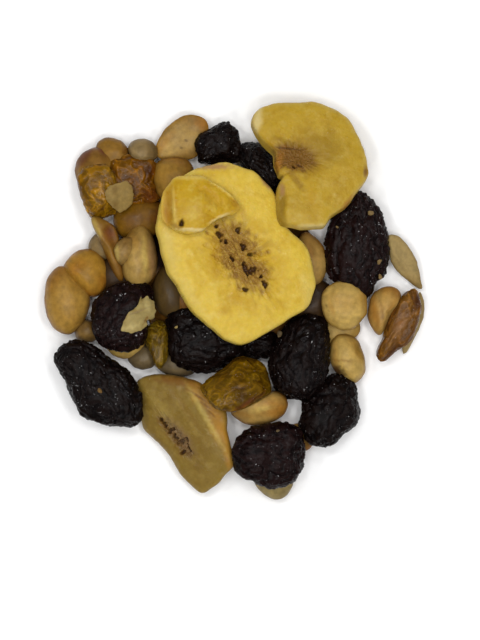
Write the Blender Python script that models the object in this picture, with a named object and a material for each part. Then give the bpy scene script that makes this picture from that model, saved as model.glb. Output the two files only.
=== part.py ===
"""Heap of trail mix that lies loose: raisins, nuts and seeds fused on one flat-bottomed core,
with four banana chips as solids of their own. Metres, +Z up, and the heap rests on Z = 0."""
import math

import bpy
import numpy as np

# Sizes are in millimetres and angles in degrees, and MM turns them to metres
MM = 0.001
GAP = 0.35
SINK = 0.9
NESTLE = 0.55
PRESSED_FLAT = 0.3
CELL = 0.45
MAP_HALF = 42.0
SHARP_ANGLE = 50.0

# Facets around and along one fused piece, and the finer count that the drop is worked out with
RAISIN_FACETS = (14, 9)
NUT_FACETS = (12, 8)
SMALL_FACETS = (10, 6)
FLAKE_FACETS = (12, 4)
FINE_FACETS = (100, 66)
FINE_CHIP_FACETS = (200, 40, 24)

# Tilts that are tried within a piece's free range, and how much lower one has to lie to be taken
TILTS = 7
LOWER_BY = 0.02

# Waves that make a piece lumpy: how many, from how short to how long, and what their sum is divided by
LUMP_WAVES = 5
LUMP_WAVE_RANGE = (2.2, 4.6)
LUMP_SCALE = 2.5

# The core is a low mound with a flat base, smaller than the heap's outline
CORE_MIDDLE = (-1.5, 3.5)
CORE_REACH = 15.0
CORE_HEIGHT = 6.6
CORE_WAVE = 0.9
CORE_RIM = 1.0
CORE_FACETS = (28, 7)
CORE_FINE_FACETS = (224, 84)

# How far each kind of piece departs from an even oval: lumps, taper to one end, flat face, blunt ends
LUMPS = {"raisin": 0.075, "golden": 0.085, "nut": 0.02, "half": 0.02, "face": 0.02, "seed": 0.01, "flake": 0.05}
TAPER = {"raisin": 0.08, "golden": 0.12, "nut": 0.07, "half": 0.06, "face": 0.06, "seed": 0.45, "flake": 0.2}
FLAT = {"raisin": 0.15, "golden": 0.2, "nut": 0.0, "half": 0.0, "face": 0.72, "seed": 0.0, "flake": 0.0}
BLUNT = {"raisin": 0.78, "golden": 0.8, "nut": 0.88, "half": 0.86, "face": 0.86, "seed": 1.0, "flake": 0.8}

# Each fused piece: name, kind, middle across and along, length, width, height, turn, pitch, roll, free tilt
# and how far it is held above what lies right below it
PIECES = (
    ("nut_left_back", "nut", -23.2, 21.4, 8.4, 7.0, 6.0, 80, 0, 0, 0, 0),
    ("nut_back_left", "nut", -19.3, 24.6, 6.6, 6.0, 5.0, 15, 0, 0, 0, 0),
    ("nut_grey_back", "nut", -15.4, 24.4, 6.8, 5.8, 5.0, 0, 0, 0, 0, 0),
    ("nut_beside_chip", "nut", -9.6, 19.9, 10.0, 7.6, 6.8, 78, 0, 0, 0, 0),
    ("nut_split_back", "face", -8.6, 27.2, 10.4, 6.6, 5.4, 40, 0, -8, 14, 0),
    ("nut_amber", "nut", -15.6, 14.0, 9.4, 6.8, 5.6, 14, 0, 0, 0, 0),
    ("nut_grey_left", "nut", -22.0, 9.4, 5.0, 4.4, 4.2, 60, 0, 0, 0, 0),
    ("nut_hidden_left", "nut", -19.2, 4.6, 7.6, 6.6, 5.0, 20, 0, 0, 0, 0),
    ("nut_left", "nut", -27.9, 0.3, 12.4, 8.2, 7.0, 97, 0, 0, 0, 0),
    ("nut_low_left", "nut", -24.3, -4.6, 6.2, 5.4, 4.6, 30, 0, 0, 0, 0),
    ("nut_under_left", "nut", -18.2, -6.2, 8.0, 6.2, 5.2, 12, 0, 0, 0, 0),
    ("nut_grey_front", "nut", -14.5, -8.9, 6.6, 4.8, 4.4, 28, 0, 0, 0, 0),
    ("nut_grey_under", "nut", -9.6, -10.4, 7.0, 4.2, 4.0, -10, 0, 0, 0, 0),
    ("nut_grey_middle", "nut", -10.4, 1.8, 9.2, 6.6, 6.4, 96, 0, 0, 0, 0),
    ("nut_under_chip", "nut", 12.5, 6.5, 9.0, 6.4, 6.0, 84, 0, 0, 0, 0),
    ("nut_flat_right", "half", 17.0, -4.4, 8.2, 6.0, 3.2, 8, 0, 0, 0, 0),
    ("nut_low_right", "nut", 13.3, 0.0, 8.0, 6.6, 5.0, 60, 0, 0, 0, 0),
    ("nut_right", "nut", 25.1, -1.4, 8.2, 5.8, 5.6, 82, 0, 0, 0, 0),
    ("nut_front_right", "nut", 18.7, -9.8, 9.3, 6.8, 6.0, 76, 0, 0, 0, 0),
    ("nut_front", "nut", 4.1, -16.9, 10.0, 7.2, 7.4, 4, 0, 0, 0, 0),
    ("seed_pale_right", "seed", 29.6, -3.2, 12.0, 4.4, 2.4, 75, 0, 14, 0, 0),
    ("seed_front", "nut", 6.9, -30.0, 7.0, 6.6, 4.4, 4, 0, 0, 0, 0),
    ("nut_between", "nut", 11.1, -22.6, 5.0, 3.8, 3.6, -50, 0, 0, 0, 0),
    ("raisin_back", "raisin", -2.8, 26.6, 7.8, 7.0, 6.0, 60, 0, 0, 0, 0),
    ("raisin_under_chips", "raisin", 5.3, 21.0, 14.0, 7.2, 6.6, -46, 0, 0, 0, 0),
    ("raisin_right", "raisin", 20.8, 9.5, 17.8, 10.2, 7.6, 94, 0, 0, 0, 0),
    ("raisin_middle", "raisin", -4.8, -5.6, 12.4, 11.0, 8.2, 20, 0, 0, 0, 0),
    ("raisin_small", "raisin", 4.4, -7.0, 5.6, 5.2, 5.0, 0, 0, 0, 0, 0),
    ("raisin_low_front", "raisin", 10.2, -13.4, 7.0, 5.0, 4.4, 20, 0, 0, 0, 0),
    ("raisin_front_middle", "raisin", 10.6, -9.1, 14.2, 10.6, 7.8, 98, 0, 0, 10, 0),
    ("seed_right", "seed", 28.3, 6.5, 11.2, 4.1, 2.4, -52, 8, 0, 0, 1.2),
    ("half_leaning", "half", -21.0, 9.3, 12.0, 4.4, 3.6, -68, 0, 30, 10, 0),
    ("nut_orange_left", "nut", -24.6, 4.7, 9.2, 7.4, 6.6, -36, 0, 0, 12, 0),
    ("raisin_left", "raisin", -19.2, -2.6, 10.8, 9.4, 7.4, 78, 0, 0, 12, 0),
    ("raisin_front_left", "raisin", -22.6, -13.9, 17.4, 10.4, 7.4, -47, 0, 0, 4, 0),
    ("golden_narrow", "golden", -12.8, -5.4, 11.8, 5.2, 4.6, 86, 0, 0, 14, 0),
    ("nut_split_left", "nut", -15.9, 7.5, 10.2, 6.4, 6.6, 86, 0, 0, 10, 0),
    ("nut_split_lobe", "nut", -18.6, 8.3, 5.6, 3.8, 4.4, 82, 0, 0, 8, 0),
    ("golden_left", "golden", -21.3, 16.9, 10.6, 8.0, 5.0, 62, 0, 0, 12, 0.4),
    ("golden_right", "golden", -16.0, 19.7, 9.0, 7.8, 4.8, -20, 0, 0, 12, 0.8),
    ("raisin_front_right", "raisin", 16.2, -17.8, 12.0, 9.2, 7.6, 70, 0, 0, 10, 0),
    ("raisin_front", "raisin", 5.9, -25.5, 12.0, 10.6, 7.6, -12, 0, 0, 6, 0),
    ("golden_brown", "golden", 27.5, -4.2, 13.2, 5.4, 4.6, 61, 0, 0, 12, 0),
    ("nut_round_right", "nut", 18.3, -0.6, 8.0, 7.8, 5.2, 0, 0, 0, 10, 0.8),
    ("golden_front", "golden", 0.8, -13.6, 13.0, 8.4, 5.6, 32, 0, 0, 24, 0),
    ("flake_seed", "flake", -19.1, 17.4, 6.0, 4.8, 0.8, -84, 0, 0, 24, 0),
    ("flake_skin", "flake", -16.1, -2.3, 6.8, 5.6, 0.7, 60, 0, 0, 24, 0),
)

# Banana chips: corners of each face as seen from above, going round its middle
CENTRE_CORNERS = (
    (13.6, 3.0), (12.2, 9.0), (8.4, 12.4), (6.8, 17.8), (3.7, 21.5), (-1.8, 23.2), (-7.0, 21.7), (-11.5, 18.7),
    (-13.0, 12.2), (-11.2, 5.2), (-7.2, -1.5), (-1.3, -6.6), (1.3, -7.3), (7.3, -3.8), (12.4, -0.8),
)
BACK_CORNERS = (
    (3, 30.7), (3.5, 31.5), (4.3, 32), (5.3, 32.5), (6.3, 32.8), (13.2, 33.3), (14.5, 33), (16.8, 32),
    (18, 31.2), (19, 30.5), (19.7, 29.3), (21.2, 26.3), (22, 23.7), (22.2, 21.2), (21.7, 20), (20, 17.8),
    (18.5, 15.7), (15.8, 14), (15.2, 12.3), (10.7, 12), (9.2, 12.2), (9, 15), (8.8, 18.7), (9.2, 21.2),
    (8.2, 20.3), (7.5, 20.5), (6.7, 22.8), (6.7, 24.7), (4.7, 26.3), (3, 29),
)
FRONT_CORNERS = (
    (-16.2, -13.2), (-14.7, -12.5), (-12.7, -12.1), (-8.8, -12.6), (-5.8, -13.5), (-3.7, -15.7),
    (-1.3, -18.5), (-1.3, -21.5), (-0.5, -25), (0, -27.3), (-3, -30.5), (-5.2, -32), (-5.8, -31.7),
    (-7.5, -30.3), (-8.8, -28.7), (-10.5, -25.8), (-12.7, -23.3), (-15.2, -21), (-15.8, -17.2),
)
SCRAP_CORNERS = (
    (-9.8, 20.9), (-5.6, 21.0), (-2.6, 19.6), (0.2, 17.4), (0.6, 15.6), (-2.4, 13.4), (-5.4, 11.5), (-9.2, 11.4),
    (-11.3, 14.2), (-11.6, 17.6),
)

# Corners, middle, thickness, steepness of the rim, slope, direction that rises, free tilt, hollow at the core
# and the share of its thickness that a chip loses towards its right-hand end as the slope is faced from above
CHIPS = {
    "banana_chip_front": (FRONT_CORNERS, (-8.4, -21.4), 4.6, 2.8, 22.0, 30.0, 0.0, 0.3, 0.35),
    "banana_chip_back": (BACK_CORNERS, (11.6, 22.8), 4.4, 4.5, 14.0, -110.0, 4.0, 0.5, 0.0),
    "banana_chip_centre": (CENTRE_CORNERS, (0.2, 8.4), 4.8, 4.5, 4.0, 200.0, 6.0, 0.6, 0.0),
    "banana_chip_scrap": (SCRAP_CORNERS, (-5.8, 16.2), 2.6, 3.0, 0.0, 0.0, 14.0, -0.5, 0.0),
}
CHIP_ROUNDING = {
    "banana_chip_front": 3.0, "banana_chip_back": 2.5, "banana_chip_centre": 4.0, "banana_chip_scrap": 4.0,
}
CHIP_SPREAD = 1.01
FACE_SHARE = 0.84
HOLLOW_SHARE = 0.3

# Facets around one chip, rings on its face and on its underside, and rings over its rim
CHIP_FACETS = (36, 2, 5)

# The order that pieces lie in, from the bottom, where a chip comes after the named piece
CHIP_AFTER = {
    "nut_between": ("banana_chip_front",),
    "golden_front": ("banana_chip_back", "banana_chip_centre", "banana_chip_scrap"),
}

COLOURS = {
    "mix_heap": (0.12, 0.065, 0.025, 1.0),
    "banana_chip_centre": (0.66, 0.47, 0.08, 1.0),
    "banana_chip_back": (0.52, 0.33, 0.05, 1.0),
    "banana_chip_front": (0.24, 0.16, 0.04, 1.0),
    "banana_chip_scrap": (0.53, 0.33, 0.04, 1.0),
}
FOOD_ROUGHNESS = 0.5


def clear_scene():
    for leftover in list(bpy.data.objects):
        bpy.data.objects.remove(leftover, do_unlink=True)


def closed_faces(around, rows):
    """Faces of a grid whose rows are rings, with a point at each end: squares between rings, triangles at the ends."""
    column = np.arange(around)
    beside = (column + 1) % around
    faces = []
    for row in range(rows - 1):
        low = row * around
        high = low + around
        for one, two in zip(column, beside):
            faces.append((low + one, low + two, high + two, high + one))
    first = rows * around
    last = first + 1
    final = (rows - 1) * around
    for one, two in zip(column, beside):
        faces.append((first, two, one))
        faces.append((last, final + one, final + two))
    return [tuple(int(index) for index in face) for face in faces]


def lump_field(points, seed):
    """Sum of sine waves in seeded directions, between about -1 and 1, one to two waves over the piece."""
    random = np.random.default_rng(seed)
    total = np.zeros(len(points))
    for _ in range(LUMP_WAVES):
        direction = random.normal(size=3)
        direction /= np.linalg.norm(direction)
        pitch = random.uniform(*LUMP_WAVE_RANGE)
        total += np.sin(points @ direction * pitch + random.uniform(0.0, 2.0 * math.pi))
    return total / LUMP_SCALE


def oval_points(kind, length, width, height, seed, facets):
    """Oval with its long side on X: rings of points from one end to the other, then the two end points.
    A flat face, a taper, blunt ends and lumps are laid on it as its kind has them."""
    around, along = facets
    turn = 2.0 * math.pi * np.arange(around) / around
    walk = math.pi * np.arange(1, along) / along
    ring = np.sin(walk) ** BLUNT[kind]
    x = np.repeat(-np.cos(walk), around)
    y = np.outer(ring, np.cos(turn)).ravel()
    z = np.outer(ring, np.sin(turn)).ravel()
    unit = np.column_stack((np.append(x, (-1.0, 1.0)), np.append(y, (0.0, 0.0)), np.append(z, (0.0, 0.0))))
    swell = 1.0 + LUMPS[kind] * lump_field(unit, seed)
    narrow = 1.0 - TAPER[kind] * unit[:, 0]
    unit = unit * swell[:, None]
    unit[:, 1] *= narrow
    unit[:, 2] *= narrow
    unit[:, 2] = np.where(unit[:, 2] > 0.0, unit[:, 2] * (1.0 - FLAT[kind]), unit[:, 2])
    return unit * np.array((length, width, height)) / 2.0


def chip_points(name, around, face_rows, rim_rows):
    """Slice whose rim follows the measured corners: rings run from the middle of the face over the rounded rim
    to the middle of the underside. Height over the radius is a superellipse, less a hollow at the core."""
    corners, middle, thickness, steep, slope, rising, _, hollow, thinned = CHIPS[name]
    away = CHIP_SPREAD * (np.array(corners) - np.array(middle))
    lie = math.radians(rising)
    along = away @ np.array((math.cos(lie), math.sin(lie))) / math.cos(math.radians(slope))
    across = away @ np.array((-math.sin(lie), math.cos(lie)))
    portion = np.linspace(0.0, 1.0, 20, endpoint=False)[:, None]
    along = (along + portion * (np.roll(along, -1) - along)).T.ravel()
    across = (across + portion * (np.roll(across, -1) - across)).T.ravel()
    fine = 2.0 * math.pi * np.arange(360) / 360.0
    reach = np.interp(fine, np.arctan2(across, along), np.hypot(across, along), period=2.0 * math.pi)
    wave = np.arange(-20, 21)
    weight = np.exp(-0.5 * (wave / CHIP_ROUNDING[name]) ** 2)
    reach = np.convolve(np.concatenate((reach[-20:], reach, reach[:20])), weight / weight.sum(), "valid")
    turn = 2.0 * math.pi * np.arange(around) / around
    rim = np.interp(turn, fine, reach, period=2.0 * math.pi)
    face = FACE_SHARE * np.arange(1, face_rows + 1) / (face_rows + 1)
    start = math.asin(FACE_SHARE ** (steep / 2.0))
    bend = np.linspace(start, math.pi - start, rim_rows)
    share = np.concatenate((face, np.sin(bend) ** (2.0 / steep), face[::-1]))
    level = (1.0 - np.minimum(share, 1.0) ** steep) ** (1.0 / steep)
    level[len(share) // 2 + 1:] *= -1.0
    x = np.append(np.outer(share, rim * np.cos(turn)).ravel(), (0.0, 0.0))
    y = np.append(np.outer(share, rim * np.sin(turn)).ravel(), (0.0, 0.0))
    z = np.append(np.repeat(level, around), (1.0, -1.0)) * thickness / 2.0
    core = np.exp(-(x ** 2 + y ** 2) / (HOLLOW_SHARE * np.mean(rim)) ** 2)
    thin = 1.0 - thinned * (0.5 - 0.5 * y / np.max(np.abs(y)))
    return np.column_stack((x, y, z * thin - hollow * core * (z > 0.0)))


def turn_about(axis, degrees):
    """Matrix that turns by an angle about one axis, 0, 1 or 2 for X, Y or Z."""
    angle = math.radians(degrees)
    one, two = [(1, 2), (2, 0), (0, 1)][axis]
    matrix = np.eye(3)
    matrix[one, one] = matrix[two, two] = math.cos(angle)
    matrix[one, two] = -math.sin(angle)
    matrix[two, one] = math.sin(angle)
    return matrix


class HeightMap:
    """Highest point on each square cell, with nothing where no piece lies."""

    def __init__(self):
        count = int(2.0 * MAP_HALF / CELL)
        self.top = np.full((count, count), -np.inf)

    def cells(self, points):
        place = ((points[:, :2] + MAP_HALF) / CELL).astype(int)
        return place[:, 0], place[:, 1]

    def lift(self, points, space):
        """How far these points are raised to lie on this map with that space between, below zero if pressed in."""
        under = np.full(self.top.shape, np.inf)
        np.minimum.at(under, self.cells(points), points[:, 2])
        used = np.isfinite(under) & np.isfinite(self.top)
        return float(np.max(self.top[used] + space - under[used])) if used.any() else -np.inf

    def add(self, points):
        np.maximum.at(self.top, self.cells(points), points[:, 2])


class Pile:
    """What lies so far: the middles of the fused pieces, their whole forms, and the chips.
    Fused pieces nestle into each other sideways, so only their middles hold each other up."""

    def __init__(self):
        self.middles = HeightMap()
        self.wholes = HeightMap()
        self.chips = HeightMap()

    def rest(self, points, middle, is_chip):
        if is_chip:
            return max(-points[:, 2].min(), self.wholes.lift(points, GAP), self.chips.lift(points, GAP))
        inner = points.copy()
        inner[:, :2] = middle + NESTLE * (points[:, :2] - middle)
        floor = -points[:, 2].min() - PRESSED_FLAT
        return max(floor, self.middles.lift(inner, -SINK), self.chips.lift(points, GAP))

    def add(self, points, middle, is_chip):
        if is_chip:
            self.chips.add(points)
            return
        self.wholes.add(points)
        inner = points.copy()
        inner[:, :2] = middle + NESTLE * (points[:, :2] - middle)
        self.middles.add(inner)


def settle(pile, fine, pose, middle, free, is_chip, held=0.0):
    """Turns the piece by the tilt, within its free range, whose centre comes to lie lowest, and lays it there."""
    steps = (0.0,) if free == 0 else np.linspace(-free, free, TILTS)
    middle = np.array(middle)
    best = None
    for pitch in steps:
        for roll in steps:
            matrix = pose(pitch, roll)
            points = fine @ matrix.T
            points[:, :2] += middle
            lift = pile.rest(points, middle, is_chip)
            level = lift + points[:, 2].mean()
            if best is None or level < best[0] - LOWER_BY:
                best = (level, matrix, lift)
    _, matrix, lift = best
    place = np.array((middle[0], middle[1], lift + held))
    pile.add(fine @ matrix.T + place, middle, is_chip)
    return matrix, place


def lay_chip(pile, name):
    _, middle, _, _, slope, rising, free, _, _ = CHIPS[name]

    def pose(pitch, roll):
        lean = turn_about(1, -slope + pitch) @ turn_about(0, roll)
        return turn_about(2, rising) @ lean

    return settle(pile, chip_points(name, *FINE_CHIP_FACETS), pose, middle, free, True)


def lay_piece(pile, row, seed):
    _, kind, across, along, length, width, height, turned, pitched, rolled, free, held = row

    def pose(pitch, roll):
        return turn_about(2, turned) @ turn_about(1, pitched + pitch) @ turn_about(0, rolled + roll)

    fine = oval_points(kind, length, width, height, seed, FINE_FACETS)
    return settle(pile, fine, pose, (across, along), free, False, held)


def core_points(around, along):
    """Mound: height falls from the middle as one less the square of the radius, with a slow wave on it."""
    turn = 2.0 * math.pi * np.arange(around) / around
    share = np.concatenate((np.arange(1, along) / along, (1.0, 1.0)))
    reach = CORE_REACH * (1.0 + 0.08 * np.sin(3.0 * turn + 0.6) + 0.05 * np.cos(2.0 * turn))
    x = np.outer(share, reach * np.cos(turn)).ravel() + CORE_MIDDLE[0]
    y = np.outer(share, reach * np.sin(turn)).ravel() + CORE_MIDDLE[1]
    z = np.repeat(CORE_HEIGHT * (1.0 - share ** 2), around) + CORE_WAVE * np.sin(0.5 * x) * np.cos(0.6 * y)
    z = np.maximum(z, CORE_RIM)
    z[-around:] = -CORE_RIM
    x = np.append(x, (CORE_MIDDLE[0], CORE_MIDDLE[0]))
    y = np.append(y, (CORE_MIDDLE[1], CORE_MIDDLE[1]))
    return np.column_stack((x, y, np.append(z, (CORE_HEIGHT, -CORE_RIM))))


def add_object(name, points, faces, collection):
    mesh = bpy.data.meshes.new(name)
    mesh.from_pydata((points * MM).tolist(), [], faces)
    mesh.validate()
    made = bpy.data.objects.new(name, mesh)
    collection.objects.link(made)
    return made


def facing_out(points, faces):
    """The faces as they are, or all turned round where the solid they close has a volume below zero."""
    volume = 0.0
    for face in faces:
        for second in range(1, len(face) - 1):
            a, b, c = points[face[0]], points[face[second]], points[face[second + 1]]
            volume += float(np.dot(a, np.cross(b, c)))
    return faces if volume > 0.0 else [tuple(reversed(face)) for face in faces]


def give_material(made, name):
    material = bpy.data.materials.new(name)
    material.use_nodes = True
    shader = material.node_tree.nodes["Principled BSDF"]
    shader.inputs["Base Color"].default_value = COLOURS[name]
    shader.inputs["Roughness"].default_value = FOOD_ROUGHNESS
    material.diffuse_color = COLOURS[name]
    made.data.materials.clear()
    made.data.materials.append(material)
    made.data.shade_smooth()
    made.data.set_sharp_from_angle(angle=math.radians(SHARP_ANGLE))


def apply_boolean(made, operation, **operand):
    modifier = made.modifiers.new(operation, "BOOLEAN")
    modifier.operation = operation
    modifier.solver = "MANIFOLD"
    for key, value in operand.items():
        setattr(modifier, key, value)
    graph = bpy.context.evaluated_depsgraph_get()
    graph.update()
    joined = bpy.data.meshes.new_from_object(made.evaluated_get(graph))
    made.modifiers.clear()
    made.data = joined


def keep_outer_shell(made):
    """Drops sealed hollows and loose scraps: of the surfaces joined edge to edge, the one with the most faces stays."""
    mesh = made.data
    edge_of_loop = np.empty(len(mesh.loops), np.int32)
    mesh.loops.foreach_get("edge_index", edge_of_loop)
    sides = np.empty(len(mesh.polygons), np.int32)
    mesh.polygons.foreach_get("loop_total", sides)
    face_of_loop = np.repeat(np.arange(len(sides)), sides)[np.argsort(edge_of_loop, kind="stable")]
    edge_of_loop = np.sort(edge_of_loop)
    paired = edge_of_loop[:-1] == edge_of_loop[1:]
    one = face_of_loop[:-1][paired]
    two = face_of_loop[1:][paired]
    group = np.arange(len(sides))
    while True:
        lowest = np.minimum(group[one], group[two])
        joined = group.copy()
        np.minimum.at(joined, one, lowest)
        np.minimum.at(joined, two, lowest)
        joined = joined[joined]
        if np.array_equal(joined, group):
            break
        group = joined
    names, sizes = np.unique(group, return_counts=True)
    main = names[np.argmax(sizes)]
    faces = [list(polygon.vertices) for polygon in mesh.polygons if group[polygon.index] == main]
    used = sorted({index for face in faces for index in face})
    fresh = {index: place for place, index in enumerate(used)}
    points = [tuple(mesh.vertices[index].co) for index in used]
    kept = bpy.data.meshes.new(made.name)
    kept.from_pydata(points, [], [[fresh[index] for index in face] for face in faces])
    made.data = kept


def lay_all():
    """Turn and place of every chip and piece, in the order that they lie in from the bottom."""
    pile = Pile()
    pile.wholes.add(core_points(*CORE_FINE_FACETS))
    laid = {}
    for seed, row in enumerate(PIECES):
        laid[row[0]] = lay_piece(pile, row, seed)
        for chip in CHIP_AFTER.get(row[0], ()):
            laid[chip] = lay_chip(pile, chip)
    return laid


def facets_of(kind):
    if kind in ("raisin", "golden"):
        return RAISIN_FACETS
    if kind == "flake":
        return FLAKE_FACETS
    if kind == "seed":
        return SMALL_FACETS
    return NUT_FACETS


def build_heap(laid, scene_collection):
    around, along = CORE_FACETS
    points = core_points(around, along)
    faces = facing_out(points, closed_faces(around, along + 1))
    heap = add_object("mix_heap", points, faces, scene_collection)
    pieces = bpy.data.collections.new("heap_pieces")
    scene_collection.children.link(pieces)
    for seed, row in enumerate(PIECES):
        name, kind, _, _, length, width, height = row[:7]
        facets = facets_of(kind)
        matrix, place = laid[name]
        points = oval_points(kind, length, width, height, seed, facets) @ matrix.T + place
        faces = facing_out(points, closed_faces(facets[0], facets[1] - 1))
        add_object(name, points, faces, pieces)
    apply_boolean(heap, "UNION", operand_type="COLLECTION", collection=pieces)
    for used in list(pieces.objects):
        bpy.data.objects.remove(used, do_unlink=True)
    bpy.data.collections.remove(pieces)
    side = 2.0 * MAP_HALF
    corner = np.array([(x, y, z) for z in (-side, 0.0) for y in (-side, side) for x in (-side, side)])
    sides = [(0, 2, 3, 1), (4, 5, 7, 6), (0, 1, 5, 4), (2, 6, 7, 3), (0, 4, 6, 2), (1, 3, 7, 5)]
    ground = add_object("ground_cutter", corner, sides, scene_collection)
    apply_boolean(heap, "DIFFERENCE", object=ground)
    bpy.data.objects.remove(ground, do_unlink=True)
    keep_outer_shell(heap)
    give_material(heap, "mix_heap")


def build_chips(laid, scene_collection):
    around, face_rows, rim_rows = CHIP_FACETS
    for name in CHIPS:
        matrix, place = laid[name]
        points = chip_points(name, around, face_rows, rim_rows) @ matrix.T + place
        faces = facing_out(points, closed_faces(around, 2 * face_rows + rim_rows))
        give_material(add_object(name, points, faces, scene_collection), name)


def main():
    clear_scene()
    scene_collection = bpy.context.scene.collection
    laid = lay_all()
    build_heap(laid, scene_collection)
    build_chips(laid, scene_collection)


main()
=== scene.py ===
"""Looks of a loose heap of trail mix: banana chips, dark and golden raisins, nuts, seeds, flakes and crumbs,
each at its true size over a low core. Lengths are in millimetres and angles in degrees, and MM turns lengths
to metres where a mesh is made. Colours are linear red, green and blue."""
import math

import bpy
import numpy as np
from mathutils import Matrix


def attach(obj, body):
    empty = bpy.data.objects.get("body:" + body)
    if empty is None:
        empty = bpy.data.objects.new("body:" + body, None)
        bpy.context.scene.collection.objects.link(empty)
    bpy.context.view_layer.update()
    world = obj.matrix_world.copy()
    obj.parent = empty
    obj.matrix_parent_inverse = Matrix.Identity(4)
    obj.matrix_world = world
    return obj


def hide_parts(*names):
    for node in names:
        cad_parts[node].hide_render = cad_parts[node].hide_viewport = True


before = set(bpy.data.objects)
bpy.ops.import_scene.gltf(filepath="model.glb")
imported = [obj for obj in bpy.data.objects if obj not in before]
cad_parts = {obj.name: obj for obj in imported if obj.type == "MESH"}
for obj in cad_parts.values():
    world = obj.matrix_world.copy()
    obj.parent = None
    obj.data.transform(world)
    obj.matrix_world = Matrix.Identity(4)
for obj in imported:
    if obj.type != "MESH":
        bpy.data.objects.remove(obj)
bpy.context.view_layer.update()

MM = 0.001
HEAP = "mix_heap"

# How the pieces lie on each other
GAP = 0.35
SINK = 0.9
NESTLE = 0.55
PRESSED_FLAT = 0.3
CELL = 0.45
MAP_HALF = 42.0
DROP_FACETS = (100, 66)
DROP_CHIP_FACETS = (200, 40, 24, 40)

# The core is a low mound, smaller than the heap's outline
CORE_MIDDLE = (-1.5, 3.5)
CORE_REACH = 15.0
CORE_HEIGHT = 6.6
CORE_WAVE = 0.9
CORE_FACETS = (224, 84)
CORE_LUMP = 7.0
CORE_LUMP_HEIGHT = 1.4

# How each kind of piece departs from an even oval, by its lumps, taper to one end, flat face and blunt ends,
# and how many points it has around and along when it is finished
KINDS = {
    "raisin": (0.075, 0.08, 0.15, 0.78, (116, 76)), "golden": (0.085, 0.12, 0.2, 0.8, (140, 88)),
    "nut": (0.02, 0.07, 0.0, 0.88, (60, 40)), "half": (0.02, 0.06, 0.0, 0.86, (60, 40)),
    "face": (0.02, 0.06, 0.72, 0.86, (72, 56)), "seed": (0.01, 0.45, 0.0, 1.0, (72, 60)),
    "flake": (0.05, 0.2, 0.0, 0.8, (120, 30)),
}

# Share of those points that a raisin has, by its length
FACETS_BY_LENGTH = ((8.0, 0.6), (13.0, 1.0), (17.0, 1.2))

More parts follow.
